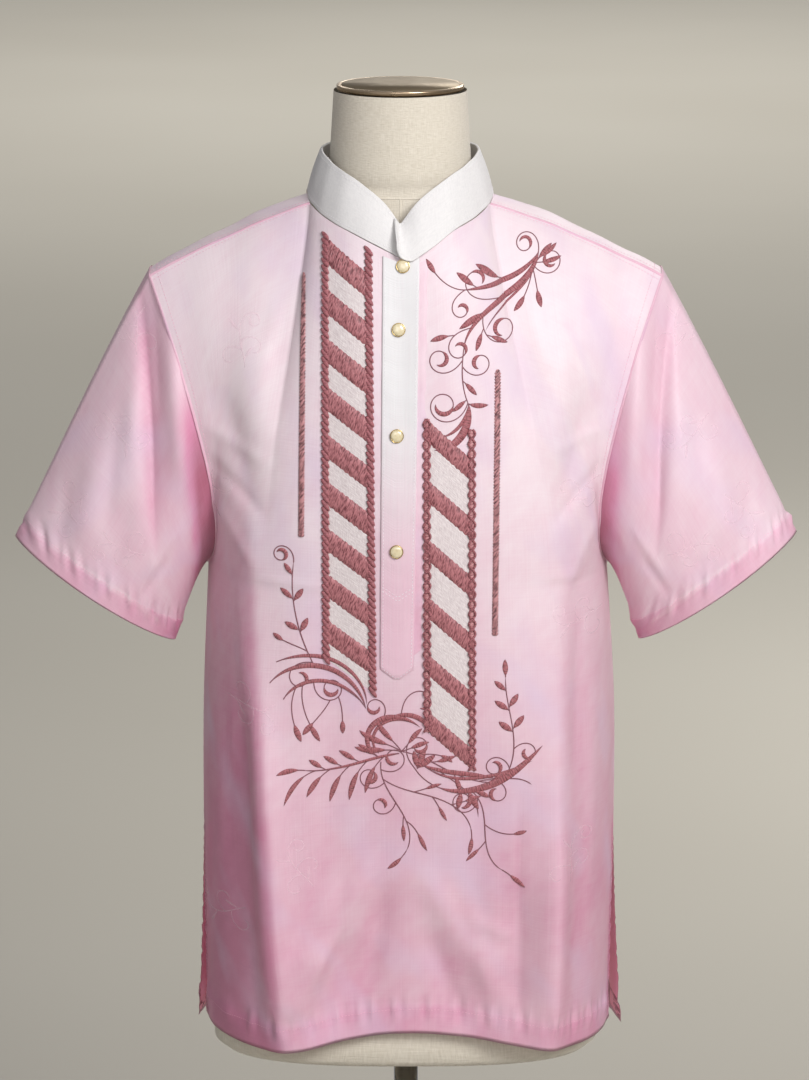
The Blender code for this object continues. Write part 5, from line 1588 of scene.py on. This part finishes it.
def rising_line(grid, normals, height):
    """The line at a height above a panel's hem, measured up each column of the cloth."""
    climbed = run_of(grid[:HEM_ROWS])
    rows = np.array([np.interp(height, column, np.arange(HEM_ROWS)) for column in climbed.T])
    return on_grid(grid, normals, rows, np.arange(grid.shape[1]))


def sewn_panel(name, grid, facing):
    """Hem, slit, armhole and shoulder stitches of a panel."""
    normals = -facing * grid_normals(grid)
    lines = [rising_line(grid, normals, HEM_SEWN_AT)]
    slit = int(np.argmax(grid[:, 0, 2] > SLIT_TOP))
    for column in (EDGE_COLUMNS, grid.shape[1] - 1 - EDGE_COLUMNS):
        for first, last in ((0, slit), (LOW_ROWS, len(grid) - 1)):
            rows = np.arange(first, last).astype(float)
            lines.append(on_grid(grid, normals, rows, np.full(len(rows), column)))
    seam = np.arange(grid.shape[1])
    middle = PANEL_COLUMNS // 2
    for part in (seam[SEAMED & (seam < middle)], seam[SEAMED & (seam > middle)]):
        rows = np.full(len(part), len(grid) - 1 - SEAM_SEWN_ROWS)
        lines.append(on_grid(grid, normals, rows, part))
    return sewing(name, lines)


def sewn_cuff(name, grid):
    """The line of stitches round a sleeve's turned hem."""
    points, outs = rising_line(grid[::-1], ring_normals(grid)[::-1], CUFF_SEWN_AT)
    around = np.append(np.arange(grid.shape[1]), 0)
    return sewing(name, [(points[around], outs[around])])


def sewn_collar():
    """Edge stitches all round the collar band."""
    normals = grid_normals(COLLAR)
    normals *= np.sign(((COLLAR - (NECK_X, 0.0, 0.0)) * normals).sum())
    top, last = len(COLLAR) - 1, COLLAR.shape[1] - 1
    across = np.arange(2, last - 1)
    up = np.arange(2.0, top - 1)
    lines = [on_grid(COLLAR, normals, np.full(len(across), row), across) for row in (1.8, top - 1.8)]
    lines += [on_grid(COLLAR, normals, up, np.full(len(up), column)) for column in (2, last - 2)]
    return sewing("collar_stitches", lines, WHITE_SEWING, "white_cloth")


def sewn_placket():
    """Stitches down both edges of the placket, round its point, and across where it opens."""
    down = [placket_place(-0.86, share) for share in np.linspace(0.97, 0.012, 240)]
    point = [placket_place(side, 0.006) for side in np.linspace(-0.8, 0.8, 17)]
    up = [placket_place(0.86, share) for share in np.linspace(0.012, 0.97, 240)]
    lines = [[*down, *point, *up]]
    for lift in (0.0, 0.0035):
        share = (BOX_STITCH_Z + lift - PLACKET_LOW[1]) / (PLACKET_TOP[1] - PLACKET_LOW[1])
        lines.append([placket_place(side, share) for side in np.linspace(-0.86, 0.86, 21)])
    lines = [tuple(laid(PLACKET_TREE, line, STITCH_OUT)) for line in lines]
    return sewing("placket_stitches", lines, WHITE_SEWING, "white_cloth")


def seam_welts():
    """Soft rolled edges where the sleeves and the shoulders are joined to the panels."""
    strips = []
    facing = grid_normals(FRONT)
    for side in (-1, 1):
        loop, _ = armhole(side, FRONT[LOW_ROWS:], BACK[LOW_ROWS:])
        outs = ring_normals(CUFFED[side])[:4].mean(axis=0)
        outs /= np.linalg.norm(outs, axis=1, keepdims=True)
        ring = np.append(np.arange(len(loop)), 0)
        path = loop + outs * WELT_OUT + (side * SLEEVE_START / 2, 0.0, 0.0)
        strips.append(raised(path[ring], outs[ring], WELT_HALF, WELT_HEIGHT))
        part = np.nonzero(SEAMED & (np.sign(np.linspace(-1, 1, PANEL_COLUMNS + 1)) == side))[0]
        outs = facing[-3, part] * np.sign(-facing[-3, part, 1])[:, None]
        strips.append(raised(FRONT[-1, part] + outs * WELT_OUT, outs, WELT_HALF, WELT_HEIGHT))
    strips = [(points, uv, np.full(points.shape[:2], WELT_TONE)) for points, uv in strips]
    return finished(joined("seam_welts", strips), CLOTH, "pink_cloth")


def slit_facings():
    """The turned edges of the back panel beside its slits, which show past the front. The doubled
    cloth lets nothing through; a paler pink and a faint painted glow stand for the light from behind
    that makes it glow pink."""
    outs = grid_normals(BACK) * HEM_TURN
    top = int(np.argmax(BACK[:, 0, 2] > SLIT_TOP))
    glowing, _, _ = finish_of(
        "doubled pink organza with painted glow", Base_Color=linear(FACING_LIT_PINK), Roughness=0.6,
        Emission_Color=linear(FACING_GLOW), Emission_Strength=0.1,
    )
    strips = []
    for columns in (slice(0, FACING_COLUMNS), slice(-FACING_COLUMNS, None)):
        points = (BACK + outs)[1:top, columns]
        strips.append((points, cut_of(points, 0.02)))
    return finished(joined("slit_facings", strips), glowing, "pink_cloth")


seam_welts()
slit_facings()
FRONT_SEWING = sewn_panel("front_stitches", FRONT, -1)
BACK_SEWING = sewn_panel("back_stitches", BACK, 1)
for SIDE, WORD in ((-1, "left"), (1, "right")):
    sewn_cuff(f"sleeve_stitches_{WORD}", CUFFED[SIDE])
COLLAR_SEWING = sewn_collar()
PLACKET_SEWING = sewn_placket()
form_seams()


# ---------------------------------------------------------------- tone-on-tone sprigs
# A small sprig woven and stitched in the cloth's own colour, as lines of the scrolls' kind in mm.
SPRIG = """
stem - 0 -18 62 44 1.6 -3.4 1 1.2 0.5
. stem 0.98 0 38 -5 -16 1 1.4 0.8
. stem 0.34 52 36 2 13 1 1.3 0.8
. stem 0.52 -58 34 -2.4 -12 1 1.3 0.8
. stem 0.7 44 15 1.5 -1.5 0.9 2.4 0.54
. stem 0.16 -40 14 -1.5 1.5 0.9 2.2 0.54
"""
# Where sprigs lie: X and Z in metres and a turn in degrees. A sleeve's X is counted outwards.
SLEEVE_SPRIGS = ((0.232, 1.322, 20), (0.262, 1.236, 160), (0.3, 1.176, 250), (0.246, 1.14, 310))
FRONT_SPRIGS = (
    (-0.15, 1.318, 30), (-0.165, 1.19, 200), (0.15, 1.196, 330), (0.16, 1.07, 120),
    (-0.14, 1.01, 280), (-0.098, 0.85, 60), (0.14, 0.86, 20), (-0.155, 0.8, 140),
)
BACK_SPRIGS = (
    (-0.11, 1.3, 40), (0.0, 1.33, 210), (0.115, 1.29, 120), (-0.06, 1.2, 300), (0.065, 1.18, 20),
    (-0.125, 1.11, 150), (0.01, 1.07, 80), (0.13, 1.06, 260), (-0.07, 0.96, 10), (0.075, 0.93, 170),
    (-0.13, 0.85, 230), (0.0, 0.83, 330), (0.135, 0.8, 60), (-0.06, 0.75, 120), (0.065, 0.74, 280),
)
# Pale silk in the cloth's own colour, so thin that it hardly shows.
SPRIG_THREAD = plain_thread("pale tone-on-tone silk", "FBE3EC")
SPRIG_THREAD.node_tree.nodes["Principled BSDF"].inputs["Alpha"].default_value = 0.24


def sprigs(name, tree, places, side=1.0, facing=-1.0):
    """Sprigs laid on a piece, each line a low thread."""
    grids = []
    for x, z, turn in places:
        cosine, sine = math.cos(math.radians(turn)), math.sin(math.radians(turn))
        for line, _, half in scroll_lines(SPRIG):
            across = side * (x + (line[:, 0] * cosine - line[:, 1] * sine) / 1000)
            up = z + (line[:, 0] * sine + line[:, 1] * cosine) / 1000
            points, normals = laid(tree, np.stack([across, up], axis=-1)[::2], 0.00006, facing)
            if len(points) > 4:
                half = np.interp(np.linspace(0, 1, len(points)), np.linspace(0, 1, len(half)), half)
                grids.append(raised(points, normals, half * 0.0012, 0.0001))
    return finished(joined(name, grids), SPRIG_THREAD, "pink_cloth")


BACK_TREE = outer_face(BACK_CLOTH)
SPRIGGED = [
    sprigs("front_sprigs", FRONT_TREE, FRONT_SPRIGS),
    sprigs("back_sprigs", BACK_TREE, BACK_SPRIGS, 1.0, 1.0),
]
for SIDE, WORD in ((-1, "left"), (1, "right")):
    SLEEVE_TREE = outer_face(SLEEVES[SIDE])
    for FACING, FACE in ((-1.0, "front"), (1.0, "back")):
        SPRIGGED.append(sprigs(f"sleeve_sprigs_{WORD}_{FACE}", SLEEVE_TREE, SLEEVE_SPRIGS, SIDE, FACING))


# ---------------------------------------------------------------- studio
LENS = 151.87
SENSOR = 36.0
CAMERA_PLACE = (-0.0013, -4.0, 2.045)
CAMERA_PITCH = 12.9


def floor():
    """A wide pale floor that fills the view behind the form."""
    places = [(x, y, 0.0) for x, y in ((-22.0, -14.0), (22.0, -14.0), (22.0, 26.0), (-22.0, 26.0))]
    mesh = bpy.data.meshes.new("floor")
    mesh.from_pydata(places, [], [(0, 1, 2, 3)])
    paint, tree, _ = finish_of("pale matt floor paint", Roughness=0.95, Specular_IOR_Level=0.1)
    coloured(paint, painted(tree, "BBB7AE", ("AFAAA0", speckle(tree, 0.5))))
    mesh.materials.append(paint)
    shown(mesh)


def soft_light(name, place, target, size, power, colour):
    """A round soft light of a size in metres and a power in watts."""
    light = bpy.data.lights.new(name, "AREA")
    light.shape = "DISK"
    light.size = size
    light.energy = power
    light.color = linear(colour)[:3]
    obj = shown(light)
    obj.location = place
    obj.rotation_euler = (Vector(target) - Vector(place)).to_track_quat("-Z", "Y").to_euler()


def camera():
    """The camera, in front, a little above the shirt and turned down."""
    lens = bpy.data.cameras.new("camera")
    lens.sensor_fit = "VERTICAL"
    lens.sensor_height = SENSOR
    lens.sensor_width = SENSOR
    lens.lens = LENS
    lens.clip_end = 60.0
    obj = shown(lens)
    obj.location = CAMERA_PLACE
    obj.rotation_euler = (math.radians(90.0 - CAMERA_PITCH), 0.0, 0.0)
    bpy.context.scene.camera = obj


floor()
soft_light("key", (1.7, -3.0, 3.3), (0.0, 0.0, 1.15), 1.7, 138.0, "FDFBFC")
soft_light("fill", (-2.6, -3.2, 1.6), (0.0, 0.0, 1.1), 2.4, 5.0, "F2F4FF")
soft_light("front", (-0.3, -3.8, 2.6), (0.0, 0.0, 1.0), 1.8, 28.0, "FDFBFF")
soft_light("overhead_near", (1.7, 3.4, 2.6), (1.3, 3.2, 0.0), 2.2, 72.0, "FFFDF8")
soft_light("overhead_far", (0.6, 12.0, 5.5), (0.5, 12.2, 0.0), 7.0, 420.0, "FFFDF8")
camera()
bpy.context.scene.view_settings.view_transform = "Standard"
WORLD = bpy.data.worlds.new("studio air")
WORLD.use_nodes = True
AIR = WORLD.node_tree.nodes["Background"]
AIR.inputs["Color"].default_value = linear("E8E9EC")
AIR.inputs["Strength"].default_value = 0.3
bpy.context.scene.world = WORLD
